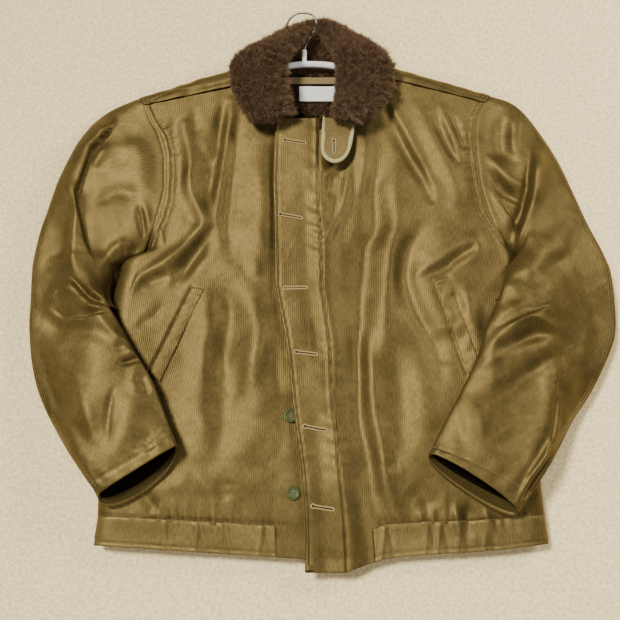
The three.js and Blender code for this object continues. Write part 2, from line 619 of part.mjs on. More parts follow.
// Lining pile seen in the neck, the tan tape and the blank label on it
const liningHeight = (y) => 12.8 + 9.2 * smooth(235, 318, y);
clothSheet('neck_lining', {
  point: (u, v) => {
    const y = mix(232, 333, v);
    return [mix(-70, 74, u), y, liningHeight(y) - 2 * Math.abs(2 * u - 1) ** 3];
  },
  us: steps(0, 1, 6), vs: steps(0, 1, 6), wall: 7.6, flip: false, edge: () => [0, 0, 1],
});
const strip = (name, x0, x1, y0, y1, lift, wall) => clothSheet(name, {
  point: (u, v) => {
    const x = mix(x0, x1, u);
    const y = mix(y0, y1, v);
    return [x, y, liningHeight(y) + lift + wall];
  },
  us: steps(0, 1, 4), vs: steps(0, 1, 3), wall, flip: false, edge: () => [0, 0, 1],
});
strip('neck_label', -15, 36, 297, 319, 0.3, 0.8);
strip('neck_tape', -34, 42, 322.5, 332.6, 0.3, 1.6);

// Throat strap with its binding, hanging from under the collar end
const strapTip = [[18, 259], [15, 212], [20, 195], [33, 188], [46, 194], [55, 212], [62, 256]];
const strapEdge = steps(0, 6, 24).map((t) => rowAt(strapTip, t));
const strapHeight = (y) => 59 - 4.2 * smooth(205, 244, y);
function plate(name, rim, thick, lift) {
  const n = rim.length;
  const mid = rim.reduce((s, p) => [s[0] + p[0] / n, s[1] + p[1] / n], [0, 0]);
  const points = [];
  [0, -thick].forEach((down) => {
    rim.forEach(([x, y]) => points.push([x, y, strapHeight(y) + down + lift]));
    points.push([mid[0], mid[1], strapHeight(mid[1]) + down + lift]);
  });
  const faces = [];
  for (let i = 0; i < n; i += 1) {
    const j = (i + 1) % n;
    faces.push([i, j, n], [j + n + 1, i + n + 1, 2 * n + 1], [j, i, i + n + 1], [j, i + n + 1, j + n + 1]);
  }
  return addSolid(name, points, faces);
}
const inward = (p, d) => {
  const cx = 37;
  const cy = 226;
  const l = Math.hypot(p[0] - cx, p[1] - cy);
  return [mix(p[0], cx, d / l), mix(p[1], cy, d / l)];
};
const strapInner = strapEdge.map((p) => inward(p, 4.4));
plate('throat_strap', strapInner, 3, 0);
const bindingRings = strapEdge.map((p) => {
  const a = inward(p, 3.9);
  const z = strapHeight(p[1]);
  return [[p[0], p[1], z + 0.6], [a[0], a[1], z + 0.6], [a[0], a[1], z - 3.4], [p[0], p[1], z - 3.4]];
});
ringSolid('strap_binding', bindingRings, true);

// Buttons on the right front: centre x, y
const buttons = [[-21, -246], [-24, -150], [-15, -54], [-24, 32], [-30, 128], [-30, 228]];
const buttonRadius = 8.7;
buttons.forEach(([bx, by], k) => {
  let seat = 0;
  steps(0, 2 * Math.PI, 16).forEach((a) => {
    seat = Math.max(seat, frontHeight(bx + buttonRadius * Math.cos(a), by + buttonRadius * Math.sin(a)));
  });
  seat = Math.max(seat, frontHeight(bx, by)) + 0.35;
  // radius and height of the turned profile
  const profile = [[0, 0], [6.8, 0], [buttonRadius, 0.9], [buttonRadius, 2], [7.6, 2.9], [6.2, 2.2], [0, 2.1]];
  const turn = 16;
  const points = [[bx, by, seat], [bx, by, seat + 2.1]];
  const rings = profile.slice(1, -1);
  rings.forEach(([r, h]) => {
    for (let i = 0; i < turn; i += 1) {
      const a = (2 * Math.PI * i) / turn;
      points.push([bx + r * Math.cos(a), by + r * Math.sin(a), seat + h]);
    }
  });
  const faces = [];
  const at = (ring, i) => 2 + ring * turn + (i % turn);
  for (let i = 0; i < turn; i += 1) {
    faces.push([0, at(0, i + 1), at(0, i)], [1, at(rings.length - 1, i), at(rings.length - 1, i + 1)]);
    for (let ring = 0; ring < rings.length - 1; ring += 1) {
      faces.push([at(ring, i), at(ring, i + 1), at(ring + 1, i + 1)], [at(ring, i), at(ring + 1, i + 1), at(ring + 1, i)]);
    }
  }
  addSolid(`button_${k + 1}`, points, faces);
});

// A round rod along points
function rod(name, path, radiusAt, sides, perStep) {
  const n = path.length - 1;
  const rings = steps(0, n, n * perStep).map((t) => {
    const p = rowAt(path, t);
    const a = rowAt(path, Math.max(0, t - 0.02));
    const b = rowAt(path, Math.min(n, t + 0.02));
    const d = unit([b[0] - a[0], b[1] - a[1], b[2] - a[2]]);
    const s = unit([d[1], -d[0], 0]);
    const q = [s[1] * d[2] - s[2] * d[1], s[2] * d[0] - s[0] * d[2], s[0] * d[1] - s[1] * d[0]];
    const [rs, rq] = radiusAt(t / n);
    return steps(0, 2 * Math.PI, sides).slice(0, -1).map((angle) => [0, 1, 2].map(
      (c) => p[c] + s[c] * rs * Math.cos(angle) + q[c] * rq * Math.sin(angle),
    ));
  });
  return ringSolid(name, rings, true);
}
// Hanger: arms through the shoulders, a short stem and the wire hook
rod('hanger_body', [[-186, 300, 13], [-120, 321, 19], [-60, 334, 25.4], [4, 340, 29.4], [66, 336, 25.4], [130, 324, 19],
  [200, 304, 13]], (t) => [4.6, 4.2 - 1.2 * Math.abs(2 * t - 1)], 8, 3);
rod('hanger_stem', [[-8, 344.6, 29.4], [-8, 355, 29.4], [-8, 364, 29.4]], () => [3.6, 3.2], 10, 1);
rod('hanger_hook', [[-8, 364.3, 29.4], [-6, 373, 29.4], [3, 384, 32], [10, 398, 33], [8, 411, 33], [-1, 418, 30],
  [-14, 420, 25], [-26, 416, 20], [-31, 410, 18]], () => [1.6, 1.6], 8, 2);

export default group;
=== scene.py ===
# Deck jacket laid flat on its back, front up, with its hanger still inside.
# Lengths in the dictionaries are millimetres on the jacket's own layout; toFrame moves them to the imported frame.
import bpy
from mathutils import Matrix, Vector
import math
import numpy as np


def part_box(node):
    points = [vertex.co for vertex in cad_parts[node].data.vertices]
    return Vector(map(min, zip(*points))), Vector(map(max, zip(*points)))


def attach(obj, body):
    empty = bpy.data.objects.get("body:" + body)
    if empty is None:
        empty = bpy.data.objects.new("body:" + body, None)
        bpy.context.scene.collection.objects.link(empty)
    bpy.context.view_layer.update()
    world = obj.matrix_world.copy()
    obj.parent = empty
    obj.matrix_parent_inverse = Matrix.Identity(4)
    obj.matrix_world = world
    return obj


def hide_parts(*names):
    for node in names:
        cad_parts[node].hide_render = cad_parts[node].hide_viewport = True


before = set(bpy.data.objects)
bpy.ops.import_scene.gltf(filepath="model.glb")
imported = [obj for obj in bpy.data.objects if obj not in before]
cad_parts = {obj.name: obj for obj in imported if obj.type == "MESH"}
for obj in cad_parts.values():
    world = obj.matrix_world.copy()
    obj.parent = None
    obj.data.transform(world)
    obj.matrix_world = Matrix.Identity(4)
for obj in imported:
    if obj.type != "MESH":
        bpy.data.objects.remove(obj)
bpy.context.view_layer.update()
print("frame loaded")


def inScene(thing):
    bpy.context.scene.collection.objects.link(thing)
    return thing


# Camera
camera = {"place": (-0.0165, -0.3938, 1.2946), "tilt": 15.27, "lens": 58.06, "sensor": 36, "nearest": 0.05}
cameraData = bpy.data.cameras.new("photoCamera")
cameraData.sensor_width = camera["sensor"]
cameraData.lens = camera["lens"]
cameraData.clip_start = camera["nearest"]
cameraObject = inScene(bpy.data.objects.new("photoCamera", cameraData))
cameraObject.location = camera["place"]
cameraObject.rotation_euler = (math.radians(camera["tilt"]), 0, 0)
bpy.context.scene.camera = cameraObject

layout = {"moveX": -16.5, "moveY": -40.3}


# Shared sums
def toFrame(points):
    return (np.array(points, float) + [layout["moveX"], layout["moveY"], 0]) / 1000


def smooth(a, b, t):
    k = np.clip((np.asarray(t, float) - a) / (b - a), 0, 1)
    return k * k * (3 - 2 * k)


def clearOfEnds(margin, t):
    return smooth(0, margin, t) * smooth(1, 1 - margin, t)


def hill(gap, half):
    return np.exp(-(gap / half) ** 2)


def mix(a, b, t):
    return a + (b - a) * t


def unit(v):
    return v / np.maximum(np.linalg.norm(v, axis=-1, keepdims=True), 1e-9)


def gridOf(us, vs):
    # each side is a row of places, or a count of places spaced evenly from 0 to 1
    us, vs = (np.linspace(0, 1, k) if isinstance(k, int) else k for k in (us, vs))
    return np.meshgrid(us, vs, indexing="ij")


def joined(*spans):
    # spans of evenly spaced places, each from, to and count, end to end
    rows = [np.linspace(*span)[:-1] for span in spans]
    return np.concatenate(rows + [[spans[-1][1]]])


def runAlong(steps):
    return np.concatenate([[0], np.cumsum(steps)])


def tableAt(rows, x):
    rows = np.array(rows, float)
    return np.interp(x, rows[:, 0], rows[:, 1])


def rowAt(rows, t):
    rows = np.array(rows, float)
    last = len(rows) - 1
    t = np.clip(np.asarray(t, float), 0, last)
    i = np.clip(np.floor(t).astype(int), 0, last - 1)
    f = (t - i)[..., None]
    a, b = rows[np.maximum(0, i - 1)], rows[i]
    d, e = rows[i + 1], rows[np.minimum(last, i + 2)]
    start = np.where(((b - a) * (d - b) <= 0) & (i > 0)[..., None], 0, (d - a) / 2)
    stop = np.where(((d - b) * (e - d) <= 0) & (i < last - 1)[..., None], 0, (e - b) / 2)
    most = 3 * np.abs(d - b)
    start = np.clip(start, -most, most)
    stop = np.clip(stop, -most, most)
    f2, f3 = f * f, f * f * f
    return b * (2 * f3 - 3 * f2 + 1) + start * (f3 - 2 * f2 + f) + d * (3 * f2 - 2 * f3) + stop * (f3 - f2)


def columnsAt(rows, t):
    return np.moveaxis(rowAt(rows, t), -1, 0)


def evenRows(rows, count, first, last, samples=1500):
    # places spaced evenly along the length, by the mean of both ends of the rows
    t = np.linspace(first, last, samples)
    r = rowAt(rows, t)
    run = runAlong(np.hypot(np.diff(r[:, 0] + r[:, 2]), np.diff(r[:, 1] + r[:, 3])) / 2)
    return np.interp(np.linspace(0, run[-1], count), run, t)


def nearestOn(line, x, y):
    # distance to a polyline, how far along it that is, its length, and how far to its right
    gap = np.full(np.shape(x), 1e9)
    along, right, run = np.zeros(np.shape(x)), np.zeros(np.shape(x)), 0.0
    for (ax, ay), (bx, by) in zip(line[:-1], line[1:]):
        dx, dy = bx - ax, by - ay
        size = math.hypot(dx, dy)
        t = np.clip(((x - ax) * dx + (y - ay) * dy) / (size * size), 0, 1)
        far = np.hypot(x - ax - dx * t, y - ay - dy * t)
        near = far < gap
        gap = np.where(near, far, gap)
        along = np.where(near, run + t * size, along)
        right = np.where(near, ((x - ax) * dy - (y - ay) * dx) / size, right)
        run += size
    return gap, along, run, right


def softNoise(x, y, size, seed, count=18):
    rng = np.random.default_rng(seed)
    z = np.zeros(np.shape(x))
    for k in range(count):
        angle = rng.uniform(0, 2 * math.pi)
        wave = 2 * math.pi / (size * rng.uniform(0.7, 1.5))
        phase = rng.uniform(0, 2 * math.pi)
        z += np.cos(wave * (x * math.cos(angle) + y * math.sin(angle)) + phase)
    return z / math.sqrt(count / 2)


def foldField(folds, x, y, power, spread=1.0):
    # each fold: points, half width, height; all fade out at their ends
    z = np.zeros(np.shape(x))
    x, y = x + softNoise(x, y, 95, 5), y + softNoise(x, y, 95, 6)
    for line, width, height in folds:
        count = 3 * (len(line) - 1) + 1 if len(line) > 2 else 2
        gap, along, run, right = nearestOn(rowAt(line, np.linspace(0, len(line) - 1, count)), x, y)
        ends = 0.12 + 0.88 * smooth(-0.1 * run, 0.32 * run, along) * smooth(1.1 * run, 0.68 * run, along)
        z += height * power * ends * hill(gap, width * spread * (0.72 + 0.38 * ends))
    return z


def stepField(steps, x, y):
    # a lap of cloth: high on the right hand side of its line, sinking away behind
    z = np.zeros(np.shape(x))
    for line, height, edge, reach in steps:
        gap, along, run, right = nearestOn(line, x, y)
        ends = smooth(0, 30, along) * smooth(run, run - 40, along)
        z += height * smooth(-edge, edge, right) * hill(gap, reach) * ends
    return z


# Shape shared with the solids
body = {
    "sideSeam": 18.0, "frontRise": 24.0, "backRise": 17.6, "frontRoll": 26.0, "backRoll": 22.0,
    "shoulderRoll": 21.0, "placketLift": 8.6, "besidePlacket": 7.4, "sleeveRest": 1.6, "rollTop": (52, 108),
    "foldPower": 0.25, "finePower": 1.65, "fineSpread": 1.3,
    "frontFace": [(-345, 21), (-325, 22), (-300, 27), (-275, 33), (-240, 38), (-200, 41), (340, 42)],
    "rightEdge": [(-308, -269), (-272, -266), (-225, -267), (-150, -267), (-75, -265), (0, -262), (40, -254),
                  (60, -248), (73, -220), (88, -212.5), (104, -207), (130, -199), (160, -195), (205, -196.5),
                  (240, -207), (250, -213), (261, -219), (281, -227), (299, -238)],
    "leftEdge": [(-306, 297), (-271, 294), (-225, 291), (-150, 289), (-75, 286), (0, 282), (40, 277),
                 (64, 273), (82, 262), (104, 247), (125, 237), (162, 230), (205, 226), (236, 225), (248, 226),
                 (264, 230), (285, 241), (302, 252)],
    "placketFold": [(-342, -5), (-309, -4), (-267, -5), (-218, -9), (-169, -16), (-131, -21), (-92, -25),
                    (-66, -28), (-40, -32), (-6, -39), (21, -44), (69, -45), (116, -46), (167, -48), (211, -47),
                    (258, -45)],
    "placketStitch": [(-342, 46), (-279, 43), (-230, 38), (-168, 33), (-130, 29), (-92, 28), (-52, 26),
                      (-13, 21), (21, 16), (69, 16), (117, 13), (140, 12), (258, 12)],
    "rightRows": [(42, -328, -269, -308), (39, -288, -266, -272), (34, -230, -267, -225), (28, -150, -267, -150),
                  (23, -75, -265, -75), (14, 0, -262, 0), (11, 40, -254, 40), (11, 64, -248, 60),
                  (10, 82, -220, 73), (9, 95, -212.5, 88), (8, 110, -207, 104), (7, 160, -195, 160),
                  (7, 205, -196.5, 205), (7, 236, -207, 240), (-10, 250, -213, 250), (-48, 262, -219, 261),
                  (-72, 318, -227, 281)],
    "hemCurve": [(46, 0), (60, 3.5), (74, 7), (90, 9), (110, 9.4), (148, 7.5), (190, 3.5), (235, 0.8), (297, 0)],
    "leftRows": [(46.5, -340.5, 297, -306), (43.5, -293, 294, -271), (38.5, -230, 291, -225), (31, -150, 289, -150),
                 (28, -75, 286, -75), (20, 0, 282, 0), (16.5, 40, 277, 40), (16.5, 66, 273, 64), (15, 84, 262, 82),
                 (13.5, 104, 247, 104), (13, 125, 237, 125), (12.5, 162, 230, 162), (12.5, 205, 226, 205),
                 (12.5, 236, 225, 236), (30, 250, 226, 248), (58, 264, 230, 264), (76, 331, 241, 285)],
}
frontFolds = [
    ([(-187, 250), (-190, 190)], 12, -4), ([(-116, 288), (-120, 240), (-125, 205), (-134, 160)], 12, -5),
    ([(-150, 235), (-158, 190), (-170, 150)], 12, 3),
    ([(-105, 285), (-108, 240), (-113, 200), (-118, 160), (-112, 110)], 10, 3),
    ([(-140, 120), (-165, 75), (-190, 55), (-215, 35)], 11, 5),
    ([(-140, 95), (-150, 70), (-165, 50), (-178, 18)], 10, -6),
    ([(-112, 80), (-130, 60), (-158, 42)], 10, 4), ([(-70, 160), (-68, 100), (-62, 55)], 12, 2.5),
    ([(-90, 200), (-80, 100)], 12, -3), ([(-115, 30), (-115, -180)], 16, -4.5),
    ([(-78, 10), (-78, -110)], 13, 3), ([(-50, -110), (-75, -190)], 13, 2.5),
    ([(-95, -110), (-100, -170)], 11, -3),
    ([(103, 275), (115, 240), (145, 185), (195, 140)], 11, 4.5),
    ([(120, 262), (130, 225), (150, 190), (175, 165)], 10, -5),
    ([(165, 285), (170, 250), (185, 215), (200, 190)], 11, 4), ([(62, 230), (60, 160), (45, 140)], 10, 2.5),
    ([(95, 200), (88, 120), (75, 40), (65, -40), (60, -120), (60, -200), (62, -290)], 15, -5),
    ([(110, 200), (112, 120), (105, 50), (88, -60), (83, -150), (88, -200), (110, -260)], 13, 3.5),
    ([(160, 115), (150, 90), (135, 60), (128, 35), (140, 0)], 11, -6),
    ([(178, 115), (175, 90), (160, 65), (142, 45)], 10, 4), ([(150, 45), (180, 62), (215, 78)], 9, 4),
]
fineFrontFolds = [
    ([(-110, 288), (-112, 245), (-114, 203), (-120, 159), (-122, 121), (-116, 81)], 7, 3.4),
    ([(-118, 280), (-124, 231), (-127, 195)], 6, -3.0),
    ([(-98, 260), (-107, 203), (-110, 121), (-105, 62)], 8, -3.2),
    ([(-172, 251), (-164, 223), (-162, 198), (-164, 176), (-157, 151), (-146, 126), (-140, 109), (-151, 89),
      (-171, 68), (-195, 49), (-219, 34), (-248, 2)], 7, 3.6), ([(-136, 97), (-156, 65), (-174, 26)], 8, -4.6),
    ([(-187, 251), (-192, 203), (-185, 159), (-196, 89)], 9, -4.2), ([(-159, 270), (-156, 232)], 6, -1.6),
    ([(-149, 217), (-134, 181), (-137, 137)], 7, -2.4), ([(-67, 223), (-64, 148), (-70, 41)], 12, 2.8),
    ([(-85, 70), (-69, 34)], 6, 0.9), ([(-107, 20), (-108, -36), (-112, -103)], 12, -3.6),
    ([(-132, 20), (-129, -36), (-134, -86)], 10, 2.4), ([(-72, 15), (-68, -61), (-73, -103)], 11, 2.6),
    ([(-221, 18), (-209, 28), (-184, 36)], 6, -1.8), ([(-226, -33), (-205, -21), (-193, -8)], 4, -1.2),
    ([(104, 280), (119, 240), (136, 203), (150, 170), (162, 143)], 6, -3.8),
    ([(112, 285), (129, 243), (146, 203), (161, 170)], 5, 2.2),
    ([(151, 280), (170, 220), (198, 156), (193, 137)], 10, 2.6), ([(171, 265), (181, 231), (200, 195)], 6, -2.8),
    ([(182, 277), (194, 234), (210, 189)], 5, 2.4), ([(197, 260), (207, 231), (213, 209)], 5, -2.0),
    ([(76, 248), (73, 198), (69, 143)], 8, 2.6),
    ([(118, 209), (119, 135), (107, 68), (99, -10), (94, -86)], 11, 3.2),
    ([(86, 198), (88, 108), (71, 68), (64, -10), (62, -103)], 10, -3.8),
    ([(143, 100), (131, 73), (124, 41), (130, 13), (145, -23), (161, -61), (164, -103)], 10, -5.0),
    ([(142, 39), (164, 52), (190, 73), (216, 86), (224, 78), (218, 65), (194, 52), (186, 41)], 6.5, 2.2),
    ([(150, 35), (174, 47), (195, 64), (215, 73)], 6, -3.0), ([(205, 15), (209, -23), (217, -56)], 7, 1.8),
    ([(188, 15), (197, -18)], 6, -1.6), ([(53, 192), (43, 135), (31, 97), (17, 81)], 5, 2.4),
    ([(30, 181), (22, 143)], 5, -2.6), ([(181, -33), (189, -86)], 14, -2.8),
    ([(-112, -44), (-115, -91), (-112, -198)], 13, -3.4), ([(-88, -75), (-101, -132)], 9, -1.8),
    ([(-139, -52), (-135, -117), (-135, -193)], 12, 2.4), ([(-67, -28), (-66, -91), (-73, -158)], 13, 2.6),
    ([(-52, -52), (-38, -122)], 8, -2.2), ([(-147, -222), (-132, -230), (-119, -247)], 7, 0.9),
    ([(-82, -236), (-50, -229)], 9, 0.5), ([(-176, -242), (-161, -235), (-152, -225)], 7, 0.8),
    ([(-211, -240), (-200, -257), (-185, -269)], 6, -1.4), ([(-107, -225), (-111, -257)], 8, -1.4),
    ([(76, -44), (75, -99), (86, -158), (90, -218), (106, -269)], 8, 3.4),
    ([(61, -38), (67, -168), (81, -269)], 8, -3.0), ([(108, -78), (121, -148), (108, -193)], 13, -2.4),
    ([(138, -91), (141, -173)], 12, 1.6), ([(90, -215), (114, -211)], 7, -1.0), ([(98, -223), (117, -219)], 7, 0.8),
    ([(124, -235), (160, -267)], 10, -2.4), ([(180, -264), (188, -300)], 4, 2.2),
    ([(198, -257), (196, -300)], 5, -2.2), ([(215, -262), (227, -298)], 4, 1.8),
    ([(138, -266), (145, -286)], 4, 1.4), ([(42, -91), (38, -142), (52, -218), (64, -291)], 7, -1.6),
]
sideName = {-1: "right", 1: "left"}
facingShare = {-1: 0.268, 1: 0.135}   # share of each front that is its facing, beside the closing


def rollShare(y):
    return 1 - smooth(*body["rollTop"], y)


def rollStart(y):
    return np.arcsin(np.clip(1 - rollShare(y), 0, 1))


def edgeOf(side, y):
    return tableAt(body[sideName[side] + "Edge"], y)


def rolledFace(y, angle):
    # height of a front where it turns over towards the side seam
    face = tableAt(body["frontFace"], y)
    return face - np.minimum(body["frontRise"], face - body["sideSeam"]) * (1 - np.sin(angle))


def frontHeight(side, x, y):
    start = rollStart(y)
    inside = np.maximum(0, side * (edgeOf(side, y) - x))
    angle = np.arccos(np.clip(np.cos(start) - inside / body["frontRoll"], 0, 1))
    fade = smooth(4, 34, inside) * smooth(-318, -270, y) * smooth(318, 285, y)
    placketMid = (tableAt(body["placketFold"], y) + tableAt(body["placketStitch"], y)) / 2
    centre = np.where(np.abs(x) < 60, smooth(8, 34, np.abs(x - placketMid)), 1)
    z = rolledFace(y, angle) + foldField(frontFolds, x, y, body["foldPower"]) * fade * centre
    return z + foldField(fineFrontFolds, x, y, body["finePower"], body["fineSpread"]) * fade * centre


def leftLift(x, y):
    # the left front rises towards the placket
    return body["besidePlacket"] * (1 - smooth(2, 30, x - tableAt(body["placketStitch"], y)))


def surfaceAt(side, x, y):
    z = frontHeight(side, x, y)
    return z + leftLift(x, y) if side > 0 else z


def rollAcross(width, roll, start, u, least):
    # share of the width reached at u from 1 to 3, the last part of it rolled over the edge
    reach = roll * np.cos(start) / width
    rolled = reach > least
    angle = mix(math.pi / 2, start, np.clip(u - 2, 0, 1))
    curl = 1 - reach * (1 - np.cos(angle) / np.maximum(np.cos(start), 1e-6))
    return 1 - np.maximum(reach, least), np.where(rolled, curl, 1 - least * (3 - u)), rolled, angle


def frontPoint(side, u, v):
    ix, iy, ox, oy = columnsAt(body[sideName[side] + "Rows"], v)
    if side > 0:
        ix = np.where(v <= 13, tableAt(body["placketStitch"], iy) + 0.2, ix)
    share = facingShare[side]
    width = np.hypot(ox - ix, oy - iy)
    inner, outer, rolled, angle = rollAcross(width, body["frontRoll"], rollStart(oy), u, 0.035)
    s = np.where(u < 1, u * share, np.where(u < 2, mix(share, inner, u - 1), outer))
    x, y = mix(ix, ox, s), mix(iy, oy, s)
    if side > 0:
        y = y + tableAt(body["hemCurve"], x) * smooth(2.2, 0, v)
    z = np.where((u >= 2) & rolled, rolledFace(y, angle), frontHeight(side, x, y))
    return np.stack([x, y, z + leftLift(x, y) if side > 0 else z], -1)


# Making meshes
def gridNormals(points):
    return unit(np.cross(np.gradient(points, axis=0), np.gradient(points, axis=1)))


def withRim(points, edge, outwardFace, profile):
    # a turned edge: profile gives steps out past the edge and down from the face
    across = edge in ("u0", "u1")
    if across:
        points, outwardFace = np.swapaxes(points, 0, 1), -outwardFace
    last = edge in ("u1", "v1")
    here, beside, before = (-1, -2, -3) if last else (0, 1, 2)
    out = unit(points[:, here] - points[:, before])
    normal = gridNormals(points)[:, beside] * outwardFace
    extra = np.stack([points[:, here] + out * a - normal * b for a, b in profile], 1)
    points = np.concatenate([points, extra] if last else [extra[:, ::-1], points], 1)
    return np.swapaxes(points, 0, 1) if across else points


def withRims(points, outwardFace, profiles):
    for edge, profile in profiles.items():
        points = withRim(points, edge, outwardFace, profile)
    return points


turnedEdge = [(0.5, 0.25), (0.7, 1.1), (0.2, 2.0), (-3.0, 2.3), (-9.0, 2.4)]


def addMesh(name, grids, material, faceUp=1):
    # grids: (points, grain coordinates) pairs; faceUp -1 turns the faces over
    verts, faces, grain = [], [], []
    base = 0
    for points, coords in grids:
        n, m = points.shape[:2]
        k = base + np.arange(n * m).reshape(n, m)
        quads = np.stack([k[:-1, :-1], k[1:, :-1], k[1:, 1:], k[:-1, 1:]], -1).reshape(-1, 4)
        faces.append(quads if faceUp > 0 else quads[:, ::-1])
        verts.append(points.reshape(-1, 3))
        grain.append(coords.reshape(-1, 2))
        base += n * m
    verts, faces, grain = np.concatenate(verts), np.concatenate(faces), np.concatenate(grain)
    return meshFrom(name, toFrame(verts), faces, grain / 1000, material)


def meshFrom(name, verts, faces, grain, material, smoothFaces=True):
    mesh = bpy.data.meshes.new(name)
    mesh.from_pydata(verts.tolist(), [], faces.tolist())
    if grain is not None:
        layer = mesh.uv_layers.new(name="grain")
        loops = np.zeros(len(mesh.loops), int)
        mesh.loops.foreach_get("vertex_index", loops)
        layer.data.foreach_set("uv", grain[loops].astype(np.float32).ravel())
    if smoothFaces:
        mesh.polygons.foreach_set("use_smooth", [True] * len(mesh.polygons))
    mesh.update()
    piece = inScene(bpy.data.objects.new(name, mesh))
    piece.data.materials.append(material)
    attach(piece, "root")
    return piece


def signedRun(across, rise):
    return np.sign(across + 1e-9) * np.hypot(across, rise)


def flatGrain(points):
    # cloth coordinates: across by x and along by y, grown where the cloth rolls over
    x, y, z = np.moveaxis(points, -1, 0)
    run = signedRun(np.diff(x, axis=0), np.diff(z, axis=0))
    across = np.concatenate([x[:1], x[:1] + np.cumsum(run, 0)])
    run = signedRun(np.diff(y, axis=1), np.diff(z, axis=1))
    along = np.concatenate([y[:, :1], y[:, :1] + np.cumsum(run, 1)], 1)
    return np.stack([across, along], -1)


def tubeGrain(points):
    step = np.linalg.norm(np.diff(points, axis=0), axis=-1)
    across = np.concatenate([np.zeros((1, points.shape[1])), np.cumsum(step, 0)])
    across = across - across[points.shape[0] // 2]
    along = runAlong(np.linalg.norm(np.diff(points, axis=1), axis=-1).mean(0))
    return np.stack([across, np.broadcast_to(along, points.shape[:2])], -1)


def pileGrain(points):
    # a base under hair has the tone near the roots of the hair
    return np.full(points.shape[:2] + (2,), 150.0)


def paired(*grids, grainOf=flatGrain):
    return [(points, grainOf(points)) for points in grids]


# Materials
wavesPerMetre = 0.3142   # scale of the wave texture that gives one band in each metre


def fill(tree, node, values):
    # a value is a number, a colour, or another node's output
    for name, value in values.items():
        if isinstance(value, bpy.types.NodeSocket):
            tree.links.new(value, node.inputs[name])
        else:
            node.inputs[name].default_value = value


def newMaterial(name):
    material = bpy.data.materials.new(name)
    material.use_nodes = True
    return material, material.node_tree, material.node_tree.nodes["Principled BSDF"]


def addNode(tree, kind, values):
    node = tree.nodes.new("ShaderNode" + kind)
    fill(tree, node, values)
    return node


def clothPlaces(tree):
    node = addNode(tree, "UVMap", {})
    node.uv_map = "grain"
    return node.outputs["UV"]


def noise(tree, places, scale, detail, roughness=0.5):
    return addNode(tree, "TexNoise", {"Vector": places, "Scale": scale, "Detail": detail,
                                      "Roughness": roughness}).outputs["Fac"]


def ribs(tree, places, direction, pitch, values):
    node = addNode(tree, "TexWave", {"Vector": places, "Scale": wavesPerMetre / pitch, **values})
    node.wave_type, node.bands_direction = "BANDS", direction
    return node.outputs["Fac"]


def ramp(tree, source, low, high, start=0.3, stop=0.7):
    node = addNode(tree, "ValToRGB", {"Fac": source})
    for k, (place, colour) in enumerate(((start, low), (stop, high))):
        node.color_ramp.elements[k].position = place
        node.color_ramp.elements[k].color = (*colour, 1)
    return node.outputs["Color"]


def mapRange(tree, source, low, high, start=0, stop=1):
    return addNode(tree, "MapRange", {"Value": source, "From Min": start, "From Max": stop, "To Min": low,
                                      "To Max": high}).outputs["Result"]


def multiply(tree, first, second, share=1):
    node = tree.nodes.new("ShaderNodeMix")
    node.data_type, node.blend_type = "RGBA", "MULTIPLY"
    fill(tree, node, {"Factor": share, 6: first, 7: second})
    return node.outputs[2]


def raised(tree, height, strength, distance):
    return addNode(tree, "Bump", {"Height": height, "Strength": strength, "Distance": distance}).outputs["Normal"]


def clothMaterial(name, look):
    material, tree, shader = newMaterial(name)
    places = clothPlaces(tree)
    cords = ribs(tree, places, "X", look["cordPitch"], {"Distortion": 0.5, "Detail": 2, "Detail Scale": 0.8})
    threads = ribs(tree, places, "Y", look["threadPitch"], {"Distortion": 1.2})
    patches = noise(tree, addNode(tree, "TexCoord", {}).outputs["Object"], look["patchScale"], 6, 0.62)
    tone = ramp(tree, patches, look["deep"], look["light"])
    # short uneven threads along the cords
    stretched = addNode(tree, "Mapping", {"Vector": places, "Scale": (1, 0.22, 1)}).outputs["Vector"]
    speck = ramp(tree, noise(tree, stretched, look["slubScale"], 2), (look["slub"],) * 3, (1, 1, 1))
    # the cords show more in some places than in others
    share = mapRange(tree, noise(tree, places, look["wornScale"], 3), 0.1, 1.0, 0.35, 0.65)
    lines = ramp(tree, cords, (look["cordShade"],) * 3, (1, 1, 1), 0.0, 0.75)
    weave = addNode(tree, "Math", {0: threads, 1: 0.25, 2: cords})
    weave.operation = "MULTIPLY_ADD"
    fill(tree, shader, {
        "Base Color": multiply(tree, multiply(tree, tone, speck), lines, share),
        "Roughness": mapRange(tree, patches, look["roughLow"], look["roughHigh"]),
        "Normal": raised(tree, weave.outputs["Value"], look["bump"], look["depth"]),
        "Specular IOR Level": look["gloss"], "Specular Tint": (*look["specularTint"], 1),
        "Metallic": look["metal"], "Anisotropic": look["anisotropy"], "Sheen Weight": look["sheen"],
        "Sheen Roughness": look["sheenRough"], "Sheen Tint": (*look["sheenTint"], 1)})
    return material


khaki = {
    "deep": (0.094, 0.066, 0.019), "light": (0.180, 0.129, 0.043), "sheenTint": (0.95, 0.76, 0.42),
    "cordPitch": 0.0026, "threadPitch": 0.0013, "cordShade": 0.91, "patchScale": 14, "slub": 0.62,
    "slubScale": 620, "wornScale": 60, "roughLow": 0.47, "roughHigh": 0.58, "bump": 0.20, "depth": 0.0004,
    "gloss": 0.3, "anisotropy": 0.3, "sheen": 0.06, "sheenRough": 0.35, "metal": 0.7,
    "specularTint": (1.0, 0.87, 0.64),
}
khakiCloth = clothMaterial("khakiCordedCloth", khaki)
# painted light: the hem bands get a lighter copy of the khaki cloth, making up for their faces tilting away from
# the lamps
paintedLightBandCloth = clothMaterial("khakiBandPaintedLight", {**khaki, "deep": (0.148, 0.106, 0.033),
                                             "light": (0.220, 0.160, 0.057)})
strapCloth = clothMaterial("strapCloth", {**khaki, "deep": (0.165, 0.114, 0.038), "light": (0.22, 0.156, 0.056),
                                          "roughLow": 0.6, "roughHigh": 0.7, "metal": 0.1, "sheen": 0.1})


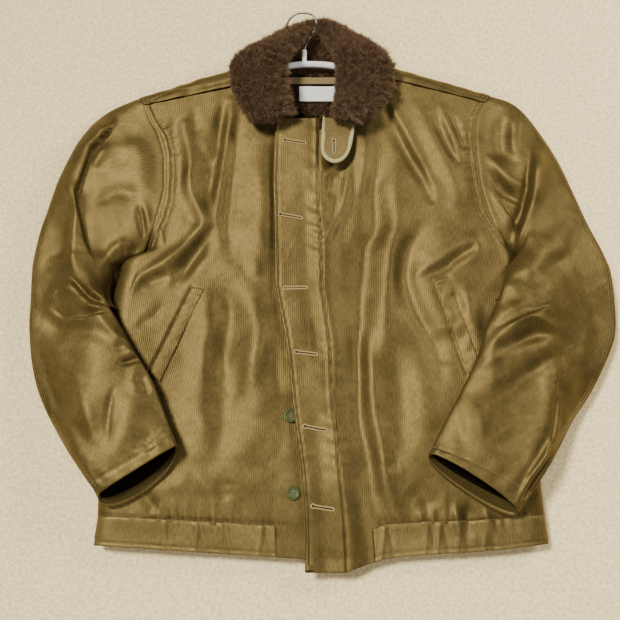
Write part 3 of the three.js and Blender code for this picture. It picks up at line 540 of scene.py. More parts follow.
def plainMaterial(name, look):
    material, tree, shader = newMaterial(name)
    grain = noise(tree, addNode(tree, "TexCoord", {}).outputs["Object"], look["grain"], 5)
    fill(tree, shader, {
        "Base Color": ramp(tree, grain, look["deep"], look["light"]),
        "Normal": raised(tree, grain, look["bump"], look["depth"]),
        "Roughness": look["rough"], "Metallic": look.get("metal", 0), "Sheen Weight": look.get("sheen", 0),
        "Specular IOR Level": look.get("gloss", 0.5)})
    return material


plainLooks = {
    "tanTape": {"deep": (0.17, 0.118, 0.044), "light": (0.25, 0.178, 0.070), "grain": 900, "bump": 0.4,
                "depth": 0.0003, "rough": 0.8, "sheen": 0.2},
    "khakiThread": {"deep": (0.19, 0.13, 0.045), "light": (0.33, 0.24, 0.10), "grain": 1500, "bump": 0.4,
                    "depth": 0.0002, "rough": 0.6},
    "tanThread": {"deep": (0.24, 0.175, 0.075), "light": (0.38, 0.285, 0.13), "grain": 1500, "bump": 0.5,
                  "depth": 0.0002, "rough": 0.7, "gloss": 0.2},
    "whiteLabel": {"deep": (0.72, 0.71, 0.67), "light": (0.86, 0.85, 0.81), "grain": 1200, "bump": 0.4,
                   "depth": 0.0002, "rough": 0.75, "sheen": 0.1},
    "greenButton": {"deep": (0.032, 0.046, 0.009), "light": (0.058, 0.074, 0.016), "grain": 260, "bump": 0.1,
                    "depth": 0.0002, "rough": 0.36, "gloss": 0.3},
    "whiteHanger": {"deep": (0.80, 0.79, 0.75), "light": (0.90, 0.89, 0.86), "grain": 60, "bump": 0.05,
                    "depth": 0.0003, "rough": 0.28},
    "hookWire": {"deep": (0.10, 0.10, 0.10), "light": (0.22, 0.21, 0.20), "grain": 400, "bump": 0.1,
                 "depth": 0.0001, "rough": 0.35, "metal": 1},
    "slitShade": {"deep": (0.012, 0.008, 0.004), "light": (0.02, 0.014, 0.007), "grain": 600, "bump": 0.1,
                  "depth": 0.0001, "rough": 0.9},
    # painted shade: the shaded cloth seen through the placket buttonholes is a dark brown disc
    "slitShadedCloth": {"deep": (0.030, 0.020, 0.006), "light": (0.05, 0.034, 0.011), "grain": 600, "bump": 0.1,
                  "depth": 0.0001, "rough": 0.9, "gloss": 0.05},
    # painted shade: the cuff lining is near black for the shade deep inside the sleeve mouths
    "sleeveLiningShade": {"deep": (0.0035, 0.0022, 0.0010), "light": (0.006, 0.004, 0.0015), "grain": 500,
                     "bump": 0.2, "depth": 0.0002, "rough": 0.9, "gloss": 0.03},
    # painted shade: the cuff facing is dark khaki for the shaded inside of the lower lip
    "cuffFacingShade": {"deep": (0.030, 0.021, 0.006), "light": (0.052, 0.037, 0.011), "grain": 500, "bump": 0.2,
                   "depth": 0.0002, "rough": 0.9, "gloss": 0.05},
    "creamBinding": {"deep": (0.29, 0.265, 0.11), "light": (0.40, 0.37, 0.165), "grain": 900, "bump": 0.4,
                     "depth": 0.0003, "rough": 0.8, "sheen": 0.2},
    "paleFloor": {"deep": (0.66, 0.525, 0.275), "light": (0.98, 0.815, 0.47), "grain": 230, "bump": 0.3,
                  "depth": 0.0008, "rough": 0.9},
}
plain = {name: plainMaterial(name, look) for name, look in plainLooks.items()}
print("materials ready")

# Fronts
fronts = {
    "cellsAcross": 96, "cellsAlong": 250, "rowsFacing": 16, "rowsBelow": 18, "bandTop": 0.9, "crumple": 0.35,
    "grooves": ((1.8, 1.5, 1.0), (8.6, 1.5, 1.3), (5.2, 1.8, -0.5)),   # place, width and depth beside the armhole
    "outerRim": [(1.6, 0.2), (2.8, 0.7), (2.9, 1.5), (1.5, 2.4)], "topRim": [(0.3, 0.3), (0.2, 1.5)],
    "facingRim": [(0.3, 0.3), (0.4, 1.2)],
    "pocketMouth": {"right": (-1.5, 2.2), "left": (-2.0, 1.2)},   # shift and depth of the groove
}
wrinkles = {"lumps": ((70, 1.1), (30, 0.3), (13, 0.06)), "creaseSize": 52, "creaseWidth": 0.16,
            "crease": 0.9, "patchSize": 80, "patchEnds": (0.3, 1.4)}


def crumple(points, amount, seed, keepOff=1):
    x, y = points[..., 0], points[..., 1]
    lump = sum(softNoise(x, y, size, seed + k) * share for k, (size, share) in enumerate(wrinkles["lumps"]))
    crease = np.exp(-np.abs(softNoise(x, y, wrinkles["creaseSize"], seed + 3)) / wrinkles["creaseWidth"])
    patches = smooth(*wrinkles["patchEnds"], softNoise(x, y, wrinkles["patchSize"], seed + 4))
    lump = lump + crease * patches * wrinkles["crease"]
    return points + gridNormals(points) * (lump * keepOff * amount)[..., None]


def seamPucker(points, line, reach, height, pitch, seed):
    # short puckers that stand square to a seam and fade away from it
    gap, along, run, right = nearestOn(line, points[..., 0], points[..., 1])
    phase = along / pitch * 2 * math.pi
    wave = np.sin(phase + 2.4 * np.sin(along / 23 + seed)) + 0.6 * np.sin(phase * 0.43 + seed)
    power = 0.55 + 0.45 * np.sin(along / 41 + np.random.default_rng(seed).uniform(0, 6))
    return wave * power * height * np.exp(-(gap / reach) ** 1.4)


def seamGroove(points, line, width, depth):
    return -depth * hill(nearestOn(line, points[..., 0], points[..., 1])[0], width)


seams = {
    "rightArmhole": [(-233, 291), (-218, 257), (-203, 234), (-197, 211), (-195, 177), (-196, 144), (-201, 118),
                     (-212, 90), (-219, 73)],
    "leftArmhole": [(248, 294), (237, 282), (228, 263), (225, 238), (226, 204), (230, 160), (237, 123),
                    (250, 99), (265, 82)],
    "rightBand": [(-264, -272), (-186, -277), (-136, -279), (-62, -283), (-32, -285)],
    "leftBand": [(80, -290), (111, -285), (173, -282), (236, -277), (273, -271)],
    "rightShoulder": [(-72, 318), (-108, 311), (-145, 302), (-186, 296), (-221, 281)],
    "leftShoulder": [(76, 331), (114, 325), (159, 313), (207, 293), (240, 285)],
    "rightWelt": [(-153, 19), (-205, -96)], "leftWelt": [(163, 27), (203, -96)],
    "placket": [(x, y) for y, x in body["placketStitch"]],
    "placketEdge": [(x, y) for y, x in body["placketFold"]],
    "buttonStand": [(-33, -140), (-38, -190), (-42, -235), (-50, -290)],
}


def seam(side, part, across=0.0, up=0.0):
    return np.array(seams[sideName[side] + part], float) + [across, up]


def dressFront(side, points, seed):
    x, y = points[..., 0], points[..., 1]
    inside = np.abs(edgeOf(side, y) - x)
    z = seamPucker(points, seam(side, "Armhole", -12 * side), 7, 0.6, 12, seed) * smooth(275, 235, y)
    z += seamPucker(points, seam(side, "Armhole", -5 * side), 4, 0.24, 7.5, seed + 1)
    for shift, width, depth in fronts["grooves"]:
        z += seamGroove(points, seam(side, "Armhole", -shift * side), width, depth)
    z += seamPucker(points, seam(side, "Band"), 20, 1.1, 21, seed + 3)
    z += seamPucker(points, seam(side, "Band"), 9, 0.5, 9, seed + 4)
    z += seamGroove(points, seam(side, "Band"), 1.5, 1.1)
    z += seamPucker(points, seam(side, "Shoulder"), 8, 0.4, 17, seed + 5)
    if side > 0:
        z += seamPucker(points, seams["placket"], 10, 0.6, 21, seed + 7) * smooth(-320, -280, y)
        z += seamGroove(points, seams["placket"], 2.2, 0.5)
    else:
        z += seamGroove(points, np.array(seams["placketEdge"]) - [1.5, 0], 3.0, 1.2)
        z += seamGroove(points, seams["buttonStand"], 1.8, 0.7)
    shift, depth = fronts["pocketMouth"][sideName[side]]
    z += seamPucker(points, seam(side, "Welt"), 9, 0.35, 14, seed + 9)
    z += seamGroove(points, seam(side, "Welt", shift), 2.2, depth)
    points[..., 2] += z * smooth(0.5, 10, inside)
    return crumple(points, fronts["crumple"], seed + 20, smooth(0, 22, inside))


def makeFront(side, seed):
    key = sideName[side]

    def part(us, vs):
        return dressFront(side, frontPoint(side, *gridOf(us, vs)), seed)

    top = fronts["bandTop"]
    main = part(joined((0, 1, fronts["rowsFacing"]), (1, 2, fronts["cellsAcross"]), (2, 3, 14)),
                evenRows(body[key + "Rows"], fronts["cellsAlong"], top, 16, 1200))
    facing = part(fronts["rowsFacing"], np.linspace(0, top, fronts["rowsBelow"]))
    facing = withRims(facing, side, {"v0": turnedEdge, "u1": fronts["facingRim"]})
    if side < 0:
        main, facing = withRim(main, "u0", side, turnedEdge), withRim(facing, "u0", side, turnedEdge)
    main = withRims(main, side, {"u1": fronts["outerRim"], "v1": fronts["topRim"]})
    piece = addMesh("front" + key.capitalize(), paired(main, facing), khakiCloth, side)
    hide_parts("front_" + key)


makeFront(-1, 11)
makeFront(1, 31)
print("fronts made")

# Hem bands
bands = {
    "rows": 18, "lift": 0.9, "pinches": [-180, -140, -110, -60, 92, 145, 160, 185, 218],
    "pinchWidth": 3.2, "hollow": 0.8, "hollowWidth": 3.4, "stitchRow": 0.83, "crumple": 0.25,
    "rims": {"v0": turnedEdge, "v1": [(0.1, 0.6), (0.0, 1.2), (-0.3, 1.6)],
             "u0": [(0.35, 0.3), (0.4, 1.2), (0.2, 2.0)], "u1": [(0.1, 0.5), (0, 1.8)]},
}


def makeBand(side, seed):
    key = sideName[side]
    u, v = gridOf(joined((1.004, 2, 110), (2, 3, 14)), bands["rows"])
    points = frontPoint(side, u, v)
    x, y = points[..., 0], points[..., 1]
    lift = bands["lift"] * np.ones(x.shape)
    for k, place in enumerate(bands["pinches"]):
        lift += (0.9 + 0.4 * math.sin(k * 2.3)) * hill(x - place - 0.12 * (y + 290), bands["pinchWidth"])
        lift -= bands["hollow"] * hill(x - place - 6 + 0.2 * (y + 290), bands["hollowWidth"])
    lift += seamPucker(points, seam(side, "Band"), 12, 0.5, 13, seed)
    lift -= 0.7 * hill(1 - v - bands["stitchRow"], 0.05)
    inside = np.abs(edgeOf(side, y) - x)
    lift = lift * smooth(1.0, 0.90, v) - 0.5 * smooth(0.93, 1, v)
    points[..., 2] += lift * smooth(0, 12, inside)
    points = withRims(crumple(points, bands["crumple"], seed, smooth(0, 20, inside)), side, bands["rims"])
    node = "hem_band_" + key
    piece = addMesh("hemBand" + key.capitalize(), paired(points), paintedLightBandCloth, side)
    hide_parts(node)


makeBand(-1, 51)
makeBand(1, 57)
print("hem bands made")

# Back, with the shoulders that come forward
back = {
    "right": [(-80, -300, -269, -300), (-80, -264, -266, -264), (-80, -200, -267, -200), (-80, -100, -266, -100),
              (-80, 0, -262, 0), (-80, 40, -254, 40), (-80, 62, -248, 60), (-80, 82, -220, 73),
              (-80, 110, -207, 104), (-80, 160, -195, 160), (-80, 205, -196.5, 205), (-80, 250, -207, 240),
              (-80, 296, -216, 256), (-80, 331, -227, 281)],
    "left": [(84, -300, 296.5, -300), (84, -264, 293.5, -264), (84, -200, 290.5, -200), (84, -100, 287, -100),
             (84, 0, 282, 0), (84, 40, 277, 40), (84, 66, 273, 64), (84, 86, 262, 82), (84, 110, 247, 104),
             (84, 160, 230, 162), (84, 205, 226, 205), (84, 250, 225, 236), (84, 300, 229, 260),
             (84, 336, 241, 285)],
    "rightFold": (-84, 352, -238, 299), "rightInside": (-80, 331, -227, 281),
    "rightSeam": (-72, 317.6, -227, 280.8),
    "leftFold": (88, 356, 252, 302), "leftInside": (84, 336, 241, 285), "leftSeam": (76, 330.6, 241, 284.6),
    "seamLift": 1.0, "seamRim": [(0.3, 0.3), (0.4, 1.0), (0.1, 1.6)],
}


def backFloor(u, v):
    right, left = rowAt(back["right"], v), rowAt(back["left"], v)
    nx, ny, ox, oy = np.moveaxis(np.where((u < 0)[..., None], right, left), -1, 0)
    k = np.abs(u)
    width = np.hypot(ox - nx, oy - ny)
    inner, outer, rolled, angle = rollAcross(width, body["backRoll"], rollStart(oy), k, 0.05)
    s = np.where(k < 2, mix(0, inner, k - 1), outer)
    midX, midY = (right[..., 0] + left[..., 0]) / 2, (right[..., 1] + left[..., 1]) / 2
    x = np.where(k < 1, mix(midX, nx, k), mix(nx, ox, s))
    y = np.where(k < 1, mix(midY, ny, k), mix(ny, oy, s))
    z = np.where((k > 2) & rolled, body["backRise"] * (1 - np.sin(angle)), 0.0)
    return np.stack([x, y, z], -1)


def shoulderPoint(key, k, v):
    # v 13 to 15 rises from the floor to the fold, 15 to 17 comes forward, 17 to 18 runs to the seam
    s = np.clip(np.where(k <= 2, mix(0, 0.95, k - 1), mix(0.95, 1, k - 2)), 0, 1)
    (fx, fy), (gx, gy), (ex, ey) = ((mix(row[0], row[2], s), mix(row[1], row[3], s)) for row in (
        back[key + "Fold"], back[key + "Inside"], back[key + "Seam"]))
    angle = np.clip((15 - v) / 2, -1, 1) * math.pi / 2
    r = 1 - np.cos(angle)
    x, y = mix(fx, gx, r), mix(fy, gy, r)
    roll, lift = body["shoulderRoll"], back["seamLift"]
    z = roll - np.sin(angle) * np.where(v > 15, tableAt(body["frontFace"], y) + lift - roll, roll)
    t = np.clip(v - 17, 0, 1)
    x, y = np.where(v > 17, mix(gx, ex, t), x), np.where(v > 17, mix(gy, ey, t), y)
    return np.stack([x, y, np.where(v > 17, tableAt(body["frontFace"], gy) + lift, z)], -1)


def makeBack():
    us = joined((-3, -2, 12), (-2, -1, 26), (-1, 1, 22), (1, 2, 26), (2, 3, 12))
    grids = [backFloor(*gridOf(us, np.linspace(1, 13, 120)))]
    for side, key in sideName.items():
        k, v = gridOf(np.linspace(1, 3, 70), joined((13, 17, 40), (17, 18, 12)))
        wrap = shoulderPoint(key, k, v)
        dress = seamPucker(wrap, seam(side, "Shoulder"), 10, 0.5, 17, 71)
        dress += seamGroove(wrap, seam(side, "Shoulder", 0, 6), 1.8, 0.6)
        wrap[..., 2] += dress * smooth(15.4, 16.4, v)
        lump = softNoise(wrap[..., 0], wrap[..., 1], 30, 73) * 0.4
        wrap = wrap - side * gridNormals(wrap) * lump[..., None]
        wrap = withRim(wrap, "v1", side, back["seamRim"])
        grids.append(wrap[::-1] if side < 0 else wrap)
    piece = addMesh("backAndShoulders", paired(*grids), khakiCloth, -1)
    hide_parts("back_panel")


makeBack()
bandPoints = withRim(backFloor(*gridOf(np.linspace(-3, 3, 160), 14)), "v0", -1, turnedEdge)
bandBack = addMesh("hemBandBack", paired(bandPoints), khakiCloth, -1)
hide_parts("hem_band_back")
print("back made")

# Placket
placket = {"foot": -341, "top": 257, "rows": 260, "across": 36, "drop": 1.2, "crumple": 0.3,
           "channel": 3.4, "hollow": 2.0,
           "foldedEdge": [(0.7, 0.4), (1.0, 1.6), (0.7, 3.0), (-2, 3.8), (-12, 4.0)]}


def placketEdges(y):
    return tableAt(body["placketFold"], y), tableAt(body["placketStitch"], y) + 0.3


def placketPoint(u, v):
    y = mix(placket["foot"], placket["top"], v)
    left, right = placketEdges(y)
    x = mix(left, right, u)
    z = tableAt(body["frontFace"], y) + body["placketLift"] - placket["drop"] * smooth(0.7, 1, u)
    points = np.stack([x, y, z], -1)
    z = z - 0.5 * hill(x - right, 2.2) - 1.7 * hill(x - left - 3.9, 1.0)
    z = z + 0.6 * hill(x - left - 1.6, 1.3) + 1.2 * hill(x - right + 4.5, 3.0)
    z = z - placket["channel"] * smooth(-90, -190, y) * hill(u - 0.5, 0.27)
    z = z - placket["hollow"] * smooth(190, 130, y) * smooth(-110, -40, y) * hill(u - 0.68, 0.16)
    slanted = points + [0, 0.5, 0] * (x - right)[..., None]
    z = z + seamPucker(slanted, seams["placket"], 15, 1.1, 23, 38) * smooth(-330, -290, y)
    points[..., 2] = z + seamPucker(points, seams["placketEdge"], 7, 0.3, 13, 43)
    return points


placketGrid = crumple(placketPoint(*gridOf(placket["across"], placket["rows"])), placket["crumple"], 45)
placketGrid = withRims(placketGrid, 1, {"v0": turnedEdge, "u0": placket["foldedEdge"]})
placketPiece = addMesh("placketCloth", paired(placketGrid), khakiCloth, 1)
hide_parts("placket")
print("placket made")

# Sleeves
sleeves = {
    "right": {
        "side": -1, "lipUnder": -29, "lipTop": 0,
        "rows": [(-238, 299, -248, 60, 42, 0), (-285, 274, -262, 52, 42, 0), (-322, 225, -265, 38, 41, 0.06),
                 (-350, 150, -268, 19, 40, 0.5), (-370, 50, -260, -6, 38, 1), (-369, -30, -246, -30, 34, 1),
                 (-355, -105, -222, -70, 33, 1), (-322, -170, -197, -110, 33, 1), (-285, -218, -176, -160, 34, 1),
                 (-259, -250, -163, -190, 36, 1)],
        "hole": [(-238, 299), (-231, 289), (-227, 281), (-219, 261), (-207, 240), (-196.5, 205), (-195, 160),
                 (-207, 104), (-220, 73), (-248, 60)],
    },
    "left": {
        "side": 1, "lipUnder": -14, "lipTop": 9,
        "rows": [(252, 302, 273, 64, 42, 0), (290, 284, 283, 56, 42, 0), (335, 214, 285, 44, 41, 0.1),
                 (372, 118, 278, 28, 40, 0.55), (400, 50, 250, 4, 38, 1), (403, -5, 224, -38, 35, 1),
                 (399, -46, 210, -80, 34, 1), (366, -112, 190, -120, 33, 1), (330, -162, 172, -152, 33, 1),
                 (295, -214, 158, -178, 33, 1), (254, -271, 146, -202, 34, 1)],
        "hole": [(252, 302), (245, 293), (241, 285), (230, 264), (225, 236), (226, 205), (230, 162),
                 (247, 104), (262, 82), (273, 64)],
    },
    "shares": [0, 0.03, 0.08, 0.17, 0.26, 0.4, 0.56, 0.78, 0.9, 1],
    "folds": [
        ([(-268, 250), (-295, 215), (-312, 150), (-308, 130), (-285, 60)], 10, -6),
        ([(-300, 225), (-325, 160), (-325, 60)], 13, 3), ([(-345, 0), (-320, -20), (-280, -25)], 12, 4),
        ([(-350, 12), (-308, 25), (-270, 10)], 10, -5), ([(-340, -40), (-310, -42), (-255, -55)], 11, -5),
        ([(275, 255), (279, 225), (288, 208)], 10, -5), ([(300, 180), (290, 125), (280, 95)], 11, 4.5),
        ([(255, 30), (320, 45)], 11, -5), ([(230, -55), (245, -30), (300, -10)], 11, 4),
        ([(265, -45), (300, -28), (322, -40)], 10, -5), ([(225, -88), (260, -72), (320, -48)], 12, 4),
        ([(230, -120), (260, -100), (300, -85)], 11, -4),
        ([(312, -92), (308, -145), (302, -182), (281, -220)], 12, 5),
    ],
    "fineFolds": [
        ([(278, 272), (276, 238), (276, 218), (281, 205)], 4.5, 3.6),
        ([(258, 270), (258, 238), (260, 212), (274, 195)], 9, -4.6),
        ([(240, 207), (253, 186), (271, 168), (291, 159)], 5, 3.6),
        ([(243, 184), (254, 163), (269, 150), (284, 141)], 5, -4.0),
        ([(241, 163), (250, 138), (265, 116), (271, 94)], 5, 3.4),
        ([(258, 141), (270, 119), (272, 101)], 4.5, -3.6),
        ([(299, 204), (293, 163), (283, 134), (271, 101), (262, 80)], 5, -4.6),
        ([(318, 224), (306, 188), (298, 153), (291, 129)], 9, 4.8),
        ([(250, 32), (286, 50), (325, 78), (348, 115)], 14, 3.6),
        ([(252, 21), (284, 21), (313, 39), (341, 63)], 9, -3.2),
        ([(214, -77), (246, -47), (276, -32), (316, -41)], 6, 3.4), ([(231, -77), (268, -56), (314, -48)], 6, -3.2),
        ([(228, -38), (248, -25), (273, -13)], 7, 2.2), ([(327, -35), (313, -106)], 12, -3.0),
        ([(354, -37), (331, -89)], 9, 2.0), ([(-221, 129), (-209, 94), (-214, 76)], 5, 4.0),
        ([(-227, 131), (-219, 81)], 3.4, -5.0), ([(-241, 72), (-219, 80)], 5, -5.0),
        ([(-277, 44), (-251, 80), (-242, 73)], 6, 3.6), ([(-276, 224), (-292, 188)], 5, 2.4),
        ([(-326, 164), (-312, 142), (-308, 115), (-313, 76), (-303, 37)], 7, 3.4),
        ([(-340, -4), (-331, 14), (-302, 15)], 7, 3.4), ([(-305, 24), (-281, 1), (-259, -11)], 4, -4.0),
        ([(-288, -11), (-259, -14)], 5, 2.2), ([(-344, -17), (-311, -38), (-274, -48)], 10, -3.2),
        ([(-270, -22), (-242, -50), (-212, -84)], 7, 2.6), ([(-238, -90), (-212, -81)], 3.5, -2.4),
        ([(-263, 216), (-235, 216), (-227, 153)], 14, 2.2), ([(-289, 137), (-255, 153), (-227, 148)], 8, -2.0),
        ([(207, -99), (241, -69), (278, -38)], 7, 2.4),
        ([(213, -135), (241, -128), (272, -104), (306, -74)], 9, -3.0), ([(182, -163), (221, -163)], 16, 1.8),
        ([(280, -142), (293, -84)], 9, -2.0), ([(235, -178), (262, -216)], 14, -2.0),
        ([(310, -109), (307, -152), (298, -186), (269, -226), (253, -259)], 3.4, 2.6),
        ([(304, -109), (300, -152), (290, -184), (264, -220)], 5, -2.0), ([(336, -74), (323, -125)], 10, 2.0),
        ([(349, -40), (326, -108)], 7, -2.2), ([(-336, -48), (-328, -82), (-322, -102)], 12, 2.6),
        ([(-347, -64), (-328, -115), (-303, -161)], 9, -2.6), ([(-310, -101), (-292, -156), (-270, -196)], 8, -2.8),
        ([(-295, -104), (-281, -136), (-261, -181)], 8, 2.0), ([(-245, -122), (-247, -182)], 3, -1.6),
        ([(-216, -99), (-201, -127)], 6, -2.6), ([(-246, -69), (-214, -59)], 6, -1.8),
        ([(-220, -188), (-190, -183)], 8, -2.0), ([(-238, -202), (-223, -163), (-220, -123)], 12, 1.8),
    ],
    "steps": [
        ([(-262, 262), (-282, 232), (-297, 215), (-313, 150), (-308, 128), (-296, 80), (-279, 47)], 13, 1.8, 24),
        ([(268, 62), (274, 84), (288, 130), (301, 182), (302, 215)], 13, 1.8, 36),
        ([(252, -262), (268, -236), (290, -206), (303, -150), (308, -112), (318, -84)], -9, 2.2, 30),
        ([(-252, -22), (-285, -28), (-318, -24), (-348, -2)], -5, 2.5, 18),
        ([(230, -50), (262, -34), (300, -16), (322, -30)], 5, 2.5, 18),
    ],
    "across": 84, "along": 250, "acrossUnder": 50, "alongUnder": 150, "crumple": 0.5,
    "foldPower": 0.3, "finePower": 1.75, "fineSpread": 1.2, "squareness": 0.55, "span": 0.85,
    "lap": {"at": 2.75, "half": 1.05, "moveX": 27, "moveY": 8}, "overBody": (2.5, 9),
    "cuffEdge": [(0.6, 0.3), (0.9, 1.2), (0.5, 2.2), (-4, 2.6), (-14, 2.8), (-22, 2.8)],
    "headEdge": [(3, 0.5), (6.5, 1.2)],
    "flap": ((6, 0.8), (13, 0.5), (22, 0.26), (32, 0.1)),
    "gusset": {"arm": [(-262, 66), (-282, 44), (-284, 10), (-276, -16), (-262, -34)],
               "body": [(-226, 74), (-238, 58), (-246, 26), (-252, -6), (-256, -34)], "height": 6},
    "overWelt": {-1: (-196, -90, 22), 1: (208, -78, 26)},   # middle and half length of each lap
}


def restHeight(x, y, reach=-62):
    out = np.zeros(np.shape(x))
    for side in (-1, 1):
        inside = side * (edgeOf(side, np.maximum(-306, y)) - x)
        drape = smooth(reach, 2, inside) * (tableAt(body["frontFace"], np.maximum(-255, y)) + body["sleeveRest"])
        over = np.where(inside > 0, frontHeight(side, x, np.maximum(-255, y)) + body["sleeveRest"], 0)
        out = np.where((x < 0) == (side < 0), np.maximum(drape, over), out)
    # the forearms lie over the pocket welts
    laps = [1 - smooth(4, 22, np.hypot(np.maximum(0, np.abs(x - cx) - 14), np.maximum(0, np.abs(y - cy) - half)))
            for cx, cy, half in sleeves["overWelt"].values()]
    return out + 3 * np.maximum(*laps) * (out > 30)


def sleevePoint(key, u, v, under):
    sleeve = sleeves[key]
    ax, ay, bx, by, thick, share = columnsAt(sleeve["rows"], v)
    phi = math.pi * np.clip(u, 0, 1)
    w = (1 - np.cos(phi)) / 2
    x, y = mix(ax, bx, w), mix(ay, by, w)
    first, last = sleeve["rows"][0], len(sleeve["rows"]) - 1
    hole = np.array(sleeve["hole"], float)
    hx, hy = np.interp(w, sleeves["shares"], hole[:, 0]), np.interp(w, sleeves["shares"], hole[:, 1])
    blend = 1 - smooth(0, 1.6, v)
    x = x + (hx - mix(first[0], first[2], w)) * blend
    y = y + (hy - mix(first[1], first[3], w)) * blend
    y = y + sleeve["lipUnder" if under else "lipTop"] * np.sin(phi) ** 0.9 * smooth(last - 0.7, last, v)
    if key == "left" and not under:
        # the upper arm laps over the armpit and the body's side
        lap = sleeves["lap"]
        covers = hill(v - lap["at"], lap["half"]) * smooth(0.45, 1, w)
        x, y = x - lap["moveX"] * covers, y + lap["moveY"] * covers
    shape = np.sin(phi) ** sleeves["squareness"]
    rest = restHeight(x, y)
    mid = share * rest + thick / 2
    z = mid - thick / 2 * shape if under else mid + thick / 2 * shape
    if not under:
        # the cloth on top spans the step from the body down to the floor
        z = z + sleeves["span"] * share * (restHeight(x, y, -104) - rest) * np.sin(phi) ** 0.8
        z = z + foldField(sleeves["folds"], x, y, sleeves["foldPower"]) * clearOfEnds(0.16, u) * smooth(0.2, 1, v)
        edge = clearOfEnds(0.1, u) * smooth(0.1, 0.5, v)
        z = z + foldField(sleeves["fineFolds"], x, y, sleeves["finePower"], sleeves["fineSpread"]) * edge
        z = z + stepField(sleeves["steps"], x, y) * edge
        if key == "left":
            inside = edgeOf(1, y) - x
            low, high = sleeves["overBody"]
            top = frontHeight(1, x, y) + low + high * shape
            z = np.where((inside > 0) & (v > 0.3), np.maximum(z, top * smooth(0, 6, inside)), z)
    roll, turn = rollShare(hy), body["shoulderRoll"]
    fold = np.clip(np.hypot(hx - hole[0, 0], hy - hole[0, 1]) / turn, 0, 1)
    rise = np.sqrt(np.maximum(0, 1 - (1 - fold) ** 2))
    if under:
        hem = np.where(fold < 1, turn * (1 - rise), body["backRise"] * roll)
    else:
        hem = np.where(fold < 1, turn + rise * 21, 42 - body["frontRise"] * roll)
    return np.stack([x, y, mix(z, hem, 1 - smooth(0, 0.8, v))], -1)


def sleeveRows(key, count):
    rows = sleeves[key]["rows"]
    return evenRows(rows, count, 0, len(rows) - 1)


def cuffDress(points, u, v, last, up):
    # the hem seam of the cuff and the puckers beside it
    fromCuff = (last - v) * 48
    cuff = -0.8 * np.exp(-(fromCuff - 22) ** 2 / 8) + 0.5 * np.sin(u * 46) * hill(fromCuff - 20, 12)
    keep = clearOfEnds(0.12, u) * smooth(0, 0.6, v)
    points = points + gridNormals(points) * up * (cuff * keep)[..., None]
    return points - gridNormals(points) * up * (0.9 * (1 - smooth(0, 0.12, v)))[..., None]


def underFlap(points, vs):
    # the underarm cloth hangs on to the floor between the arm and the body's side
    edge = points[-1]
    toBody = edge - points[-4]
    toBody[:, 2] = 0
    at = np.concatenate([vs, np.full(points.shape[1] - len(vs), vs[-1])])
    reach = smooth(0.05, 0.5, at) * smooth(4.3, 3.4, at)
    flap = []
    for out, drop in sleeves["flap"]:
        row = edge + unit(toBody) * (out * reach)[:, None]
        row[:, 2] = mix(edge[:, 2], edge[:, 2] * drop, reach)
        flap.append(row)
    return np.concatenate([points, np.stack(flap)])


def underarmGusset():
    # cloth of the underarm, low between the arm and the body
    armSide, bodySide = (rowAt(sleeves["gusset"][part], np.linspace(0, 4, 30)) for part in ("arm", "body"))
    k = np.linspace(0, 1, 12)[:, None, None]
    plan = armSide[None] * (1 - k) + bodySide[None] * k
    low = sleeves["gusset"]["height"] + 1.5 * np.sin(plan[..., 1] / 7) * np.sin(math.pi * k[..., 0])
    return np.concatenate([plan, low[..., None]], -1)


def makeSleeve(side, seed):
    key = sideName[side]
    last = len(sleeves[key]["rows"]) - 1
    for part, under in (("top", False), ("under", True)):
        across, along = ("acrossUnder", "alongUnder") if under else ("across", "along")
        us = np.linspace(0, 1, sleeves[across])
        us = us - 0.05 * np.sin(2 * math.pi * us) / (2 * math.pi)
        vs = sleeveRows(key, sleeves[along])
        u, v = gridOf(us, vs)
        points = sleevePoint(key, u, v, under)
        up = -side if under else side
        if not under:
            points = crumple(points, sleeves["crumple"] * up, seed, clearOfEnds(0.12, u) * smooth(0, 0.6, v))
            points = cuffDress(points, u, v, last, up)
        points = withRim(points, "v1", up, sleeves["cuffEdge"])
        points = underFlap(points, vs) if under else withRim(points, "v0", up, sleeves["headEdge"])
        grids = paired(points, grainOf=tubeGrain)
        if under and side < 0:
            grids += paired(underarmGusset())
        piece = addMesh("sleeve" + key.capitalize() + part.capitalize(), grids, khakiCloth, up)
        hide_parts(f"sleeve_{key}_{part}")


cuffs = {
    "liningFrom": 1.3, "mouth": 0.10, "facing": {"right": (0.24, 0.010), "left": (0.28, 0.014)}, "clear": 4.6,
    "clearUnder": 4.4,
}


def makeCuffShadeLining(key):
    # the lining inside the cuff, set back from its mouth, with a facing at the lip; both carry painted shade, the
    # lining near black and the facing dark khaki
    last = len(sleeves[key]["rows"]) - 1

    def inside(first, end, under):
        u, v = gridOf(np.linspace(0.02, 0.98, 50), np.linspace(last - first, last - end, 24))
        points = sleevePoint(key, u, v, under)
        points[..., 2] += (cuffs["clearUnder"] if under else -cuffs["clear"]) * clearOfEnds(0.08, u)
        return points

    facingEnd, width = cuffs["facing"][key]
    start, mouth, rests = cuffs["liningFrom"], cuffs["mouth"], [f"sleeve_{key}_under"]
    lining = paired(inside(start, mouth, False), inside(start, facingEnd, True), grainOf=tubeGrain)
    lining = addMesh("cuffLiningShade" + key.capitalize(), lining, plain["sleeveLiningShade"], 1)
    # the facing's dark khaki is painted shade on the inside of the lower lip
    facing = paired(inside(facingEnd, mouth, True), grainOf=tubeGrain)
    facing = addMesh("cuffFacingShade" + key.capitalize(), facing, plain["cuffFacingShade"], 1)


makeSleeve(-1, 81)
makeSleeve(1, 91)
for key in ("right", "left"):
    makeCuffShadeLining(key)
print("sleeves made")

